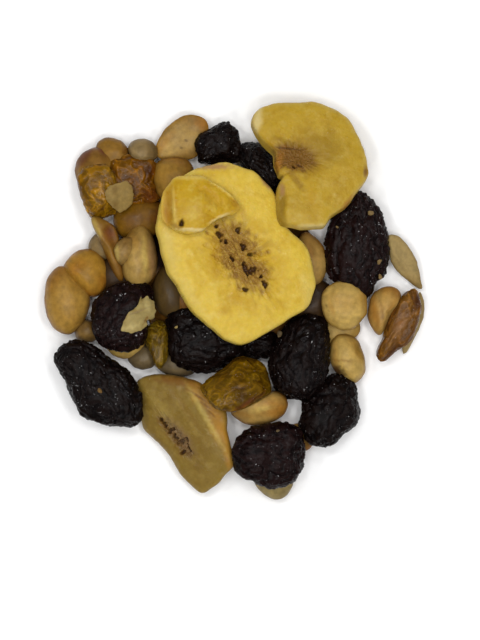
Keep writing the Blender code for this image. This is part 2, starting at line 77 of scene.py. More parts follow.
# Each piece: name, kind, middle across and along, length, width, height, turn, free tilt and tone. The
# darkest nut tones, on the nuts that lie low in the heap, are darker copies as painted shade
PIECES = (
    ("nut_left_back", "nut", -23.2, 21.4, 8.4, 7.0, 6.0, 80, 0, "russet"),
    ("nut_back_left", "nut", -19.3, 24.6, 6.6, 6.0, 5.0, 15, 0, "russet"),
    ("nut_grey_back", "nut", -15.4, 24.4, 6.8, 5.8, 5.0, 0, 0, "grey"),
    ("nut_beside_chip", "nut", -9.6, 19.9, 10.0, 7.6, 6.8, 78, 0, "toasted"),
    ("nut_split_back", "face", -8.6, 27.2, 10.4, 6.6, 5.4, 40, 14, "buff"),
    ("nut_amber", "nut", -15.6, 14.0, 9.4, 6.8, 5.6, 14, 0, "amber"),
    ("nut_grey_left", "nut", -22.0, 9.4, 5.0, 4.4, 4.2, 60, 0, "grey"),
    ("nut_hidden_left", "nut", -19.2, 4.6, 7.6, 6.6, 5.0, 20, 0, "deep"),
    ("nut_left", "nut", -27.9, 0.3, 12.4, 8.2, 7.0, 97, 0, "tan"),
    ("nut_low_left", "nut", -24.3, -4.6, 6.2, 5.4, 4.6, 30, 0, "dull"),
    ("nut_under_left", "nut", -18.2, -6.2, 8.0, 6.2, 5.2, 12, 0, "pale"),
    ("nut_grey_front", "nut", -14.5, -8.9, 6.6, 4.8, 4.4, 28, 0, "slate"),
    ("nut_grey_under", "nut", -9.6, -10.4, 7.0, 4.2, 4.0, -10, 0, "slate"),
    ("nut_grey_middle", "nut", -10.4, 1.8, 9.2, 6.6, 6.4, 96, 0, "dim"),
    ("nut_under_chip", "nut", 12.5, 6.5, 9.0, 6.4, 6.0, 84, 0, "warm"),
    ("nut_flat_right", "half", 17.0, -4.4, 8.2, 6.0, 3.2, 8, 0, "pale"),
    ("nut_low_right", "nut", 13.3, 0.0, 8.0, 6.6, 5.0, 60, 0, "deep"),
    ("nut_right", "nut", 25.1, -1.4, 8.2, 5.8, 5.6, 82, 0, "warm"),
    ("nut_front_right", "nut", 18.7, -9.8, 9.3, 6.8, 6.0, 76, 0, "pale"),
    ("nut_front", "nut", 4.1, -16.9, 10.0, 7.2, 7.4, 4, 0, "warm"),
    ("seed_pale_right", "seed", 29.6, -3.2, 12.0, 4.4, 2.4, 75, 0, "seed"),
    ("seed_front", "nut", 6.9, -30.0, 7.0, 6.6, 4.4, 4, 0, "putty"),
    ("nut_between", "nut", 11.1, -22.6, 5.0, 3.8, 3.6, -50, 0, "toasted"),
    ("raisin_back", "raisin", -2.8, 26.6, 7.8, 7.0, 6.0, 60, 0, "black"),
    ("raisin_under_chips", "raisin", 5.3, 21.0, 14.0, 7.2, 6.6, -46, 0, "black"),
    ("raisin_right", "raisin", 20.8, 9.5, 17.8, 10.2, 7.6, 94, 0, "plum"),
    ("raisin_middle", "raisin", -4.8, -5.6, 12.4, 11.0, 8.2, 20, 0, "black"),
    ("raisin_small", "raisin", 4.4, -7.0, 5.6, 5.2, 5.0, 0, 0, "black"),
    ("raisin_low_front", "raisin", 10.2, -13.4, 7.0, 5.0, 4.4, 20, 0, "black"),
    ("raisin_front_middle", "raisin", 10.6, -9.1, 14.2, 10.6, 7.8, 98, 10, "black"),
    ("seed_right", "seed", 28.3, 6.5, 11.2, 4.1, 2.4, -52, 0, "seed"),
    ("half_leaning", "half", -21.0, 9.3, 12.0, 4.4, 3.6, -68, 10, "russet"),
    ("nut_orange_left", "nut", -24.6, 4.7, 9.2, 7.4, 6.6, -36, 12, "orange"),
    ("raisin_left", "raisin", -19.2, -2.6, 10.8, 9.4, 7.4, 78, 12, "plum"),
    ("raisin_front_left", "raisin", -22.6, -13.9, 17.4, 10.4, 7.4, -47, 4, "black"),
    ("golden_narrow", "golden", -12.8, -5.4, 11.8, 5.2, 4.6, 86, 14, "olive"),
    ("nut_split_left", "nut", -15.9, 7.5, 10.2, 6.4, 6.6, 86, 10, "buff"),
    ("nut_split_lobe", "nut", -18.6, 8.3, 5.6, 3.8, 4.4, 82, 8, "fawn"),
    ("golden_left", "golden", -21.3, 16.9, 10.6, 8.0, 5.0, 62, 12, "honey"),
    ("golden_right", "golden", -16.0, 19.7, 9.0, 7.8, 4.8, -20, 12, "treacle"),
    ("raisin_front_right", "raisin", 16.2, -17.8, 12.0, 9.2, 7.6, 70, 10, "black"),
    ("raisin_front", "raisin", 5.9, -25.5, 12.0, 10.6, 7.6, -12, 6, "plum"),
    ("golden_brown", "golden", 27.5, -4.2, 13.2, 5.4, 4.6, 61, 12, "rust"),
    ("nut_round_right", "nut", 18.3, -0.6, 8.0, 7.8, 5.2, 0, 10, "pale"),
    ("golden_front", "golden", 0.8, -13.6, 13.0, 8.4, 5.6, 32, 24, "moss"),
    ("flake_seed", "flake", -19.1, 17.4, 6.0, 4.8, 0.8, -84, 24, "husk"),
    ("flake_skin", "flake", -16.1, -2.3, 6.8, 5.6, 0.7, 60, 24, "skin"),
)

# Pitch and roll of the pieces that lean of themselves
LEANS = {
    "nut_split_back": (0, -8), "seed_pale_right": (0, 14), "seed_right": (8, 0), "half_leaning": (0, 30),
}

# How far pieces are held above what lies below them
HELD = {"seed_right": 1.2, "golden_left": 0.4, "golden_right": 0.8, "nut_round_right": 0.8}

# How much higher or lower a finished piece lies than its plain form came to rest
RAISED = {
    "nut_round_right": 1.8, "nut_split_lobe": -0.9, "golden_left": 1.3, "golden_right": 1.0,
    "golden_narrow": 0.6, "nut_split_left": 0.6, "seed_pale_right": -0.4,
}

# Banana chips: corners of each face as seen from above, going round its middle
CENTRE_CORNERS = (
    (13.6, 3), (12.2, 9), (8.4, 12.4), (6.8, 17.8), (3.7, 21.5), (-1.8, 23.2), (-7, 21.7), (-11.5, 18.7),
    (-13, 12.2), (-11.2, 5.2), (-7.2, -1.5), (-1.3, -6.6), (1.3, -7.3), (7.3, -3.8), (12.4, -0.8),
)
BACK_CORNERS = (
    (3, 30.7), (3.5, 31.5), (4.3, 32), (5.3, 32.5), (6.3, 32.8), (13.2, 33.3), (14.5, 33), (16.8, 32),
    (18, 31.2), (19, 30.5), (19.7, 29.3), (21.2, 26.3), (22, 23.7), (22.2, 21.2), (21.7, 20), (20, 17.8),
    (18.5, 15.7), (15.8, 14), (15.2, 12.3), (10.7, 12), (9.2, 12.2), (9, 15), (8.8, 18.7), (9.2, 21.2),
    (8.2, 20.3), (7.5, 20.5), (6.7, 22.8), (6.7, 24.7), (4.7, 26.3), (3, 29),
)
FRONT_CORNERS = (
    (-16.2, -13.2), (-14.7, -12.5), (-12.7, -12.1), (-8.8, -12.6), (-5.8, -13.5), (-3.7, -15.7),
    (-1.3, -18.5), (-1.3, -21.5), (-0.5, -25), (0, -27.3), (-3, -30.5), (-5.2, -32), (-5.8, -31.7),
    (-7.5, -30.3), (-8.8, -28.7), (-10.5, -25.8), (-12.7, -23.3), (-15.2, -21), (-15.8, -17.2),
)
SCRAP_CORNERS = (
    (-9.8, 20.9), (-5.6, 21), (-2.6, 19.6), (0.2, 17.4), (0.6, 15.6), (-2.4, 13.4), (-5.4, 11.5),
    (-9.2, 11.4), (-11.3, 14.2), (-11.6, 17.6),
)

# Corners, middle, thickness, steepness of the rim, slope, direction that rises, free tilt, hollow at the
# core and the share of its thickness that a chip loses towards its right-hand end as one faces up the slope
CHIPS = {
    "front": (FRONT_CORNERS, (-8.4, -21.4), 4.6, 2.8, 22.0, 30.0, 0.0, 0.3, 0.35),
    "back": (BACK_CORNERS, (11.6, 22.8), 4.4, 4.5, 14.0, -110.0, 4.0, 0.5, 0.0),
    "centre": (CENTRE_CORNERS, (0.2, 8.4), 4.8, 4.5, 4.0, 200.0, 6.0, 0.6, 0.0),
    "scrap": (SCRAP_CORNERS, (-5.8, 16.2), 2.6, 3.0, 0.0, 0.0, 14.0, -0.5, 0.0),
}
CHIP_ROUNDING = {"front": 3.0, "back": 2.5, "centre": 4.0, "scrap": 4.0}
CHIP_SPREAD = 1.01
RIM_WAVE = 0.012
FACE_SHARE = 0.84
CHIP_AFTER = {
    "nut_between": ("front",),
    "golden_front": ("back", "centre", "scrap"),
}

# Outlines as seen from above, for the pieces that show whole or nearly so: corners going round the piece
OUTLINES = {
    "nut_left_back": (
        (-26.7, 22), (-26.3, 23.7), (-25.3, 25), (-23.7, 25.8), (-21.7, 26), (-20.3, 25), (-19.7, 23.3),
        (-20, 21), (-21.7, 19), (-23.7, 18.3), (-25.3, 18.7), (-26.3, 20.2),
    ),
    "nut_back_left": (
        (-23.3, 25.3), (-22.8, 26.8), (-21.5, 27.6), (-20.2, 27.5), (-18.8, 27), (-17.8, 25.8),
        (-17.3, 24.3), (-18, 22.7), (-20, 22), (-22, 22.3), (-23.2, 23.7),
    ),
    "nut_grey_back": (
        (-17.8, 25.7), (-17.2, 26.8), (-16, 27.3), (-14.8, 27.3), (-13.7, 26.8), (-12.8, 25.8),
        (-12.7, 24.3), (-14, 23.2), (-16, 23.2), (-17.3, 24),
    ),
    "nut_split_back": (
        (-13.2, 25.7), (-12.7, 27.3), (-11.7, 28.8), (-10.2, 30.2), (-8.5, 31.2), (-7, 31.5), (-5.7, 31.2),
        (-4.7, 30.5), (-4.2, 29.2), (-4.3, 27.3), (-5.2, 25.3), (-6.7, 24), (-9, 23.5), (-11.5, 23.5),
        (-12.8, 24.2),
    ),
    "raisin_back": (
        (-6.7, 26.7), (-6.2, 27.8), (-5, 28.7), (-3.7, 29.2), (-2.7, 29.8), (-1.7, 30.2), (-0.5, 29.9),
        (0.5, 28.7), (0.8, 27), (1.2, 25), (0.7, 23.2), (-1.5, 22.8), (-4.2, 23.1), (-5.8, 23.3),
        (-6.3, 25),
    ),
    "raisin_under_chips": (
        (1, 26.5), (2.5, 26.8), (4.2, 26.9), (5.7, 25.5), (7.2, 24), (8.7, 22), (9.3, 20), (8.3, 18),
        (6.3, 17.7), (4, 19.7), (1.7, 22), (0.3, 24.3),
    ),
    "nut_beside_chip": (
        (-13.7, 21), (-13.3, 23), (-12, 24.1), (-9.7, 24.3), (-7.7, 23.8), (-6.7, 22.5), (-6.7, 20),
        (-7.7, 17.7), (-9.7, 16.7), (-11.7, 16.7), (-13, 18),
    ),
    "golden_left": (
        (-26.3, 20.7), (-25.7, 22), (-24.3, 22.8), (-22.7, 23.2), (-21, 22.7), (-19.7, 21), (-19.3, 18.7),
        (-19.2, 16.7), (-19.7, 14.7), (-21.7, 14), (-23.8, 13.8), (-24.7, 15.3), (-25.7, 17.8),
    ),
    "golden_right": (
        (-21.3, 23.7), (-20, 24.3), (-18.3, 24.7), (-15.7, 24.7), (-13.7, 24), (-12.8, 22.7), (-13.3, 20.3),
        (-13, 18.3), (-12.3, 17), (-14, 16.2), (-16, 15.7), (-18.3, 15.7), (-20.3, 17), (-21.7, 19.7),
        (-22.2, 22),
    ),
    "half_leaning": (
        (-24.3, 14.3), (-23, 14.3), (-21.3, 13.8), (-19.8, 12.7), (-19.2, 10.7), (-19.3, 8.7), (-18.7, 6.2),
        (-18.2, 3.7), (-18.8, 2.8), (-19.8, 4), (-21, 6.7), (-22, 9), (-23, 11.5), (-24, 13.2),
    ),
    "nut_orange_left": (
        (-28.7, 5.7), (-28.3, 6.7), (-27.3, 7.8), (-26, 8.7), (-24.5, 9), (-23, 8.5), (-21.8, 7.3),
        (-21, 5.7), (-20.8, 4), (-21.3, 2.5), (-22.2, 1.3), (-23.3, 0.7), (-24.3, 1), (-25.7, 2),
        (-27.3, 3.5), (-28.3, 4.5),
    ),
    "nut_left": (
        (-31.8, 0.3), (-31.7, 2.3), (-31.2, 4.2), (-30.2, 5.5), (-29, 6.2), (-27.7, 5.7), (-26, 3.7),
        (-24.3, 1.7), (-24, 0.3), (-24.5, -2.2), (-25.3, -3.8), (-26.3, -4.7), (-27.3, -5.5), (-29, -5.2),
        (-30.3, -4.3), (-31.3, -2.7),
    ),
    "nut_low_left": (
        (-26.7, -4.7), (-26.2, -3.5), (-25, -2.8), (-23.7, -3), (-22.7, -4.3), (-22.5, -6), (-23.7, -6.7),
        (-25.3, -6.7), (-26.5, -6),
    ),
    "nut_split_left": (
        (-18.8, 7.8), (-18.8, 9.3), (-18.2, 10.8), (-17.2, 12.2), (-16, 13), (-14.7, 12.7), (-13.7, 11.5),
        (-13, 9.5), (-12.7, 7.3), (-12.8, 5.3), (-13.7, 3.7), (-14.8, 2.7), (-16.2, 2.3), (-17.5, 2.8),
        (-18.5, 4.2), (-18.8, 6),
    ),
    "nut_split_lobe": (
        (-20.2, 8.7), (-19.5, 10), (-18.3, 10.8), (-16.8, 11), (-16.3, 8.7), (-17.3, 6.7), (-18.8, 6),
        (-19.7, 7),
    ),
    "raisin_left": (
        (-23.8, -1.7), (-23.5, 0), (-22.5, 1.2), (-21, 2.3), (-19, 3.2), (-16.7, 3), (-14.7, 3.2),
        (-13.7, 2), (-14, -0.5), (-14.5, -3.3), (-14.7, -6), (-15.5, -7.5), (-17.7, -8.2), (-20.3, -8.2),
        (-22.2, -7.3), (-23.3, -5.7), (-23.7, -3.7),
    ),
    "nut_under_left": (
        (-21.7, -7.3), (-20.3, -9), (-18.7, -9.6), (-16.8, -9.3), (-15.3, -8.3), (-14.7, -6.7),
        (-15.7, -4.7), (-19, -4), (-21.3, -5),
    ),
    "nut_grey_front": (
        (-17.8, -9.7), (-17.2, -8), (-16, -7), (-14.3, -7), (-13.3, -8.3), (-13, -10), (-13.7, -11),
        (-15.3, -11.4), (-16.8, -11),
    ),
    "golden_narrow": (
        (-15.5, -5.2), (-14.5, -4), (-13, -3), (-11.5, -3.3), (-10.8, -5.3), (-10.8, -8), (-11.3, -10),
        (-12.3, -11.3), (-13.3, -10.8), (-13.7, -8.8), (-14.7, -7.2),
    ),
    "raisin_middle": (
        (-11.2, -3), (-10.3, -0.7), (-8.7, 0.5), (-5.7, 0.3), (-1.5, -1.3), (1, -4.7), (1.5, -7.2),
        (0.7, -9), (-1, -10.3), (-3.3, -11.7), (-6, -11.6), (-8.3, -11.3), (-10, -10.3), (-10.8, -8.3),
    ),
    "golden_front": (
        (-5.8, -14), (-4.3, -12.7), (-2.3, -11.3), (0.3, -9.3), (1.7, -9), (3, -9.3), (4.7, -10),
        (5.7, -11.7), (6.2, -13.5), (6.3, -15.3), (4.7, -16), (3.5, -16.7), (1.8, -17.7), (0.2, -18.2),
        (-1.7, -18.3), (-3, -17.7), (-4, -16.7), (-5, -15.3),
    ),
    "nut_front": (
        (-1, -18.3), (0.7, -17.3), (3.5, -16.3), (5.7, -15), (7.3, -14.8), (8.7, -15.7), (9.1, -17.2),
        (8.5, -18.7), (7.2, -19.8), (5.3, -20.5), (3.3, -20.7), (1.5, -20.3), (0, -19.3),
    ),
    "raisin_front_middle": (
        (5.7, -10.7), (6, -8.3), (7.3, -5.5), (9.3, -3), (11.8, -1.8), (13.8, -2), (15.5, -3.3), (16, -5.7),
        (15.8, -8.3), (16, -10.7), (15.3, -13), (14, -15), (12.3, -16.5), (10.3, -16.2), (8.3, -15.3),
        (6.5, -13.7),
    ),
    "raisin_right": (
        (15.3, 10.3), (15.7, 13.5), (17.7, 15.7), (19.3, 17.7), (20.8, 18.7), (22.3, 18), (24, 16.5),
        (25, 14.2), (25.7, 11.3), (26.1, 8.3), (26, 6.5), (25.2, 4.7), (23.8, 3.3), (23, 1.7), (22.5, 0),
        (19.7, 1), (16.7, 3), (15.5, 5), (15.3, 7.7),
    ),
    "seed_right": (
        (25.5, 11.3), (26.5, 11.5), (27.7, 11.2), (28.8, 10), (29.8, 8.3), (30.7, 6.7), (31.2, 4.7),
        (31.5, 3), (31.7, 2), (30.8, 2), (29.7, 3), (28.3, 4.2), (27, 5.5), (26.2, 6.8), (25.8, 8.7),
    ),
    "nut_round_right": (
        (14.5, 0.3), (14.7, 1.7), (15.7, 2.7), (17, 3.5), (18.7, 3.5), (20, 3.2), (21.2, 2.5), (22, 1.3),
        (22.2, -0.3), (22.2, -2), (21.3, -3), (20.5, -4), (19.3, -4.7), (17.8, -4.7), (16.3, -4),
        (15.3, -3), (14.7, -1.7),
    ),
    "nut_right": (
        (22.5, -0.5), (22.7, 0.7), (23.5, 1.8), (24.7, 2.5), (26.2, 2.7), (27.3, 2.3), (28, 1.5), (28, 0),
        (27, -1.3), (26, -2.7), (25.3, -4.3), (24.5, -5.8), (23.7, -5.3), (22.8, -3.8), (22.3, -2.3),
    ),
    "golden_brown": (
        (28.2, 1.7), (29.2, 2.2), (30.3, 2.3), (31, 1.2), (31.5, -1), (31, -2.5), (30.5, -4.2), (29.8, -6),
        (29, -7.2), (28.2, -7.7), (27.2, -8.2), (26, -9.3), (24.5, -10.2), (24, -9.5), (23.5, -8.5),
        (24, -7.3), (24.7, -6.5), (25, -5), (25.7, -2.7), (26.8, -0.5),
    ),
    "seed_pale_right": (
        (31, 2.3), (31.8, 1.5), (32, -0.2), (31.7, -2.7), (30.8, -5), (30, -6.7), (29.2, -8), (28.8, -9),
        (28.2, -9), (27.8, -7.5), (28.5, -6), (29.3, -3.8), (30, -1.3), (30.3, 0.7),
    ),
    "nut_front_right": (
        (16, -8), (16.2, -6.5), (17.3, -5.3), (18.7, -5.2), (20, -5.7), (21, -6.7), (21.5, -8.2),
        (22, -9.8), (22, -11.7), (21.2, -13), (20.3, -13.7), (18.8, -13), (17.3, -12.2), (16.3, -10.7),
        (15.8, -9.3),
    ),
    "raisin_front_right": (
        (11.3, -16.7), (11.5, -18.2), (10.8, -19.8), (11, -21.5), (11.7, -22.7), (12.8, -23.5),
        (14.2, -24.1), (15.3, -24.2), (16.3, -24), (17.5, -23), (18.5, -21.8), (19.8, -21.2), (20.7, -20.2),
        (21, -18), (20.5, -16), (20.5, -14), (19.7, -12.7), (18.5, -12), (17, -11.8), (15, -12.5),
        (13, -14.2),
    ),
    "raisin_front": (
        (-0.3, -25), (0, -23.7), (0.8, -22.3), (1.8, -21.5), (3, -20.7), (4.7, -20.3), (6.8, -20),
        (8.8, -20.3), (10.3, -20.8), (11.3, -22), (11.8, -24.3), (11.8, -25.8), (11.3, -27.7),
        (10.3, -29.8), (9.3, -30.5), (7.7, -31), (5.7, -31), (4, -30.3), (2.3, -29.5), (1, -29), (0.2, -28),
        (0, -26.8),
    ),
    "seed_front": (
        (3.3, -30), (4, -31.3), (5, -32.3), (6.5, -33.1), (7.8, -33), (9, -32.2), (9.8, -30.7), (10, -29.3),
        (6.8, -28.7), (4, -28.7),
    ),
    "raisin_front_left": (
        (-26.8, -6.3), (-28.7, -7), (-30, -8.7), (-30, -10), (-29, -12), (-27.3, -15.3), (-25.8, -18.3),
        (-24.3, -19.7), (-21.7, -20.5), (-18.3, -21), (-16.3, -21), (-15.3, -19.3), (-15.2, -16.7),
        (-16, -13.7), (-18, -11), (-20.7, -9.3), (-23, -7.3), (-25, -6.3),
    ),
    "nut_under_chip": (
        (11, 11.7), (12.3, 11.8), (13.8, 10.7), (15, 9.3), (15.5, 7.7), (15.7, 5.8), (15.2, 4.2), (14, 2.7),
        (12, 2.3), (10.7, 5), (10.3, 8.7),
    ),
    "flake_seed": (
        (-21.5, 18.3), (-20.7, 19.3), (-19.3, 19.8), (-17.8, 20.2), (-17, 19.3), (-16.7, 17.7), (-17, 16.3),
        (-17.8, 15.5), (-19, 14.8), (-20.3, 15.8), (-21.3, 17),
    ),
    "flake_skin": (
        (-15.5, 1.3), (-14.2, 1), (-13.3, 0), (-13, -1.5), (-13.3, -2.7), (-14.2, -3.2), (-14.8, -2.7),
        (-14.3, -3.8), (-15.3, -4.7), (-17, -5.2), (-18.8, -4.8), (-18.3, -3.2), (-17.5, -1.7),
        (-16.7, -1.3), (-15.8, -0.3), (-15, 0.2),
    ),
}
OUTLINE_ROUNDING = 4.0
OUTLINE_SECTORS = 72

# Tones: body, then what the ends turn to, and what the creases turn to as painted shade
TONES = {
    "tan": ((0.315, 0.175, 0.030), (0.21, 0.095, 0.012)),
    "warm": ((0.370, 0.225, 0.058), (0.27, 0.120, 0.016)),
    "toasted": ((0.275, 0.148, 0.022), (0.19, 0.080, 0.010)),
    "russet": ((0.200, 0.100, 0.013), (0.13, 0.050, 0.007)),
    "orange": ((0.300, 0.155, 0.018), (0.22, 0.085, 0.007)),
    "dull": ((0.165, 0.095, 0.026), (0.10, 0.048, 0.010)),
    # The next two are darker copies of nut tones for nuts that lie low in the heap: painted shade
    "dim": ((0.075, 0.044, 0.012), (0.04, 0.018, 0.005)),
    "deep": ((0.035, 0.017, 0.005), (0.02, 0.009, 0.003)),
    "fawn": ((0.250, 0.153, 0.044), (0.18, 0.095, 0.020)),
    "grey": ((0.205, 0.137, 0.054), (0.13, 0.080, 0.026)),
    # A darker copy of the grey tone for grey nuts low in the heap: painted shade
    "slate": ((0.115, 0.081, 0.038), (0.07, 0.045, 0.018)),
    "putty": ((0.260, 0.196, 0.072), (0.17, 0.115, 0.036)),
    "buff": ((0.325, 0.203, 0.050), (0.22, 0.115, 0.020)),
    "pale": ((0.420, 0.275, 0.072), (0.29, 0.155, 0.024)),
    "amber": ((0.150, 0.068, 0.004), (0.080, 0.024, 0.003)),
    "seed": ((0.300, 0.212, 0.080), (0.21, 0.135, 0.042)),
    "husk": ((0.240, 0.158, 0.045), (0.16, 0.095, 0.024)),
    "skin": ((0.315, 0.240, 0.087), (0.21, 0.145, 0.040)),
    "black": ((0.0060, 0.0030, 0.0024), (0.002, 0.001, 0.001)),
    "plum": ((0.0095, 0.0034, 0.0030), (0.003, 0.001, 0.001)),
    "honey": ((0.1722, 0.084, 0.0021), (0.0714, 0.0272, 0.0007)),
    "treacle": ((0.1196, 0.0473, 0.0007), (0.0506, 0.0138, 0.0006)),
    "moss": ((0.1125, 0.0585, 0.0014), (0.0495, 0.0206, 0.0009)),
    "olive": ((0.095, 0.057, 0.0030), (0.045, 0.022, 0.001)),
    "rust": ((0.1144, 0.0484, 0.0056), (0.0528, 0.0158, 0.0024)),
}


def smooth(low, high, value):
    """Share from 0 at low to 1 at high along the curve 3t^2 - 2t^3."""
    share = np.clip((value - low) / (high - low), 0.0, 1.0)
    return share * share * (3.0 - 2.0 * share)


def toward(tint, colour, weight):
    """Each row of tint moved towards the colour by its weight."""
    return tint + (np.array(colour) - tint) * np.clip(weight, 0.0, 1.0)[:, None]


def noise(points, cell, seed):
    """Gradient noise, about -1 to 1: every corner of a grid of cells holds a seeded direction, and the eight
    products of direction and way to the point are blended along 6t^5 - 15t^4 + 10t^3."""
    table = np.random.default_rng(seed).normal(size=(4096, 3))
    table /= np.linalg.norm(table, axis=1)[:, None]
    place = points / np.array(cell)
    low = np.floor(place).astype(np.int64)
    part = place - low
    blend = part ** 3 * (part * (part * 6.0 - 15.0) + 10.0)
    total = np.zeros(len(points))
    for corner in range(8):
        step = np.array(((corner >> 2) & 1, (corner >> 1) & 1, corner & 1))
        key = (low + step) * np.array((73856093, 19349663, 83492791))
        key = (key[:, 0] ^ key[:, 1] ^ key[:, 2]) % len(table)
        weight = np.prod(np.where(step == 1, blend, 1.0 - blend), axis=1)
        total += weight * np.sum(table[key] * (part - step), axis=1)
    return 1.5 * total


def warped(points, cell, amount, seed):
    """Points moved by three noises, which bends any pattern that reads them."""
    shift = [noise(points, cell, seed + axis) for axis in range(3)]
    return points + amount * np.column_stack(shift)


def pillows(points, cell, seed):
    """Rounded ridges with sharp creases: the size of the noise, 0 in a crease and about 1 on a ridge."""
    return np.minimum(np.abs(noise(points, cell, seed)) * 2.4, 1.2)


def lump_field(points, seed):
    """Sum of five sine waves in seeded directions, about -1 to 1, one to two waves over the piece."""
    random = np.random.default_rng(seed)
    total = np.zeros(len(points))
    for _ in range(5):
        direction = random.normal(size=3)
        direction /= np.linalg.norm(direction)
        wave = points @ direction * random.uniform(2.2, 4.6)
        total += np.sin(wave + random.uniform(0.0, 2.0 * math.pi))
    return total / 2.5


def full_turn(count):
    """That many even directions round a circle."""
    return 2.0 * math.pi * np.arange(count) / count


def rings(share, reach, turn):
    """Two coordinates in a plane: for each share one ring, at that share of the reach in each direction, and
    then the middle twice, for the two end points."""
    first = np.append(np.outer(share, reach * np.cos(turn)).ravel(), (0.0, 0.0))
    return first, np.append(np.outer(share, reach * np.sin(turn)).ravel(), (0.0, 0.0))


def along_across(away, degrees):
    """How far each step away goes along a direction seen from above, and how far across it."""
    angle = math.radians(degrees)
    along = away @ np.array((math.cos(angle), math.sin(angle)))
    return along, away @ np.array((-math.sin(angle), math.cos(angle)))


def oval_unit(kind, seed, facets):
    """Oval of radius one with its long side on X: rings of points from one end to the other, then the two
    end points. A flat face, a taper, blunt ends and lumps are laid on it as its kind has them. It comes with
    the even oval that it was made from."""
    lumps, taper, flat, blunt, _ = KINDS[kind]
    around, along = facets
    walk = math.pi * np.arange(1, along) / along
    y, z = rings(np.sin(walk) ** blunt, 1.0, full_turn(around))
    even = np.column_stack((np.append(np.repeat(-np.cos(walk), around), (-1.0, 1.0)), y, z))
    unit = even * (1.0 + lumps * lump_field(even, seed))[:, None]
    unit[:, 1:] *= (1.0 - taper * even[:, 0])[:, None]
    unit[:, 2] *= np.where(unit[:, 2] > 0.0, 1.0 - flat, 1.0)
    return unit, even


def reach_of(along, across, turn, rounding):
    """Distance from the middle to an outline in each direction: straight lines between its corners, eased by
    a bell curve as many degrees wide as the rounding."""
    portion = np.linspace(0.0, 1.0, 20, endpoint=False)[:, None]
    along = (along + portion * (np.roll(along, -1) - along)).T.ravel()
    across = (across + portion * (np.roll(across, -1) - across)).T.ravel()
    fine = full_turn(360)
    reach = np.interp(fine, np.arctan2(across, along), np.hypot(across, along), period=2.0 * math.pi)
    weight = np.exp(-0.5 * (np.arange(-20, 21) / rounding) ** 2)
    reach = np.convolve(np.concatenate((reach[-20:], reach, reach[:20])), weight / weight.sum(), "valid")
    return np.interp(turn, fine, reach, period=2.0 * math.pi)


def onto_chip(name, spots):
    """Spots seen from above, as places along and across the slope in the chip's own plane."""
    _, middle, _, _, slope, rising = CHIPS[name][:6]
    along, across = along_across(np.array(spots, float) - np.array(middle), rising)
    return np.column_stack((along / math.cos(math.radians(slope)), across))


def chip_rim(name, corners, turn):
    """Distance from a chip's middle to its rim in each direction, in the chip's own sloping plane."""
    along, across = CHIP_SPREAD * onto_chip(name, corners).T
    return reach_of(along, across, turn, CHIP_ROUNDING[name])


def chip_form(name, rim, face_rows, rim_rows, under_rows):
    """Slice: rings run from the middle of the face over the rounded rim to the middle of the underside.
    Height over the radius is a superellipse, less a hollow at the core."""
    _, _, thickness, steep, _, _, _, hollow, thinned = CHIPS[name]
    around = len(rim)
    face = FACE_SHARE * np.arange(1, face_rows + 1) / (face_rows + 1)
    under = FACE_SHARE * np.arange(under_rows, 0, -1) / (under_rows + 1)
    start = math.asin(FACE_SHARE ** (steep / 2.0))
    bend = np.linspace(start, math.pi - start, rim_rows)
    share = np.concatenate((face, np.sin(bend) ** (2.0 / steep), under))
    side = np.where(bend > 0.5 * math.pi, -1.0, 1.0)
    side = np.concatenate((np.ones(face_rows), side, -np.ones(under_rows)))
    level = side * (1.0 - np.minimum(share, 1.0) ** steep) ** (1.0 / steep)
    x, y = rings(share, rim, full_turn(around))
    z = np.append(np.repeat(level, around), (1.0, -1.0)) * thickness / 2.0
    core = np.exp(-(x ** 2 + y ** 2) / (0.3 * np.mean(rim)) ** 2)
    thin = 1.0 - thinned * (0.5 - 0.5 * y / np.max(np.abs(y)))
    return np.column_stack((x, y, z * thin - hollow * core * (z > 0.0)))


def fit_outline(points, base, name, middle):
    """Points spread sideways from the middle, in each direction by the distance to the piece's own outline
    over the distance to the outline of its plain form."""
    if name not in OUTLINES:
        return points
    away = base[:, :2] - middle
    count = OUTLINE_SECTORS
    sector = np.floor(np.arctan2(away[:, 1], away[:, 0]) / (2.0 * math.pi) * count).astype(int) % count
    plain = np.zeros(count)
    np.maximum.at(plain, sector, np.hypot(away[:, 0], away[:, 1]))
    plain = np.maximum(plain, 0.97 * np.minimum(np.roll(plain, 1), np.roll(plain, -1)))
    plain = 0.25 * np.roll(plain, 1) + 0.5 * plain + 0.25 * np.roll(plain, -1)
    corners = np.array(OUTLINES[name]) - middle
    angles = full_turn(count) + math.pi / count
    share = reach_of(corners[:, 0], corners[:, 1], angles, OUTLINE_ROUNDING) / plain
    way = points[:, :2] - middle
    spread = np.interp(np.arctan2(way[:, 1], way[:, 0]), angles, share, period=2.0 * math.pi)
    fitted = points.copy()
    fitted[:, :2] = middle + way * spread[:, None]
    return fitted


def turn_about(axis, degrees):
    """Matrix that turns by an angle about one axis, 0, 1 or 2 for X, Y or Z."""
    angle = math.radians(degrees)
    one, two = [(1, 2), (2, 0), (0, 1)][axis]
    matrix = np.eye(3)
    matrix[one, one] = matrix[two, two] = math.cos(angle)
    matrix[one, two] = -math.sin(angle)
    matrix[two, one] = math.sin(angle)
    return matrix


class HeightMap:
    """Highest point on each square cell, with nothing where no piece lies."""

    def __init__(self):
        count = int(2.0 * MAP_HALF / CELL)
        self.top = np.full((count, count), -np.inf)

    def cells(self, points):
        place = ((points[:, :2] + MAP_HALF) / CELL).astype(int)
        return place[:, 0], place[:, 1]

    def lift(self, points, space):
        """How far these points are raised to lie on this map with that space between, which is
        below zero where they are pressed in."""
        under = np.full(self.top.shape, np.inf)
        np.minimum.at(under, self.cells(points), points[:, 2])
        used = np.isfinite(under) & np.isfinite(self.top)
        return float(np.max(self.top[used] + space - under[used])) if used.any() else -np.inf

    def add(self, points):
        np.maximum.at(self.top, self.cells(points), points[:, 2])

    def height(self, x, y):
        column, row = self.cells(np.array(((x, y),)))
        return float(self.top[column[0] - 1:column[0] + 2, row[0] - 1:row[0] + 2].max())


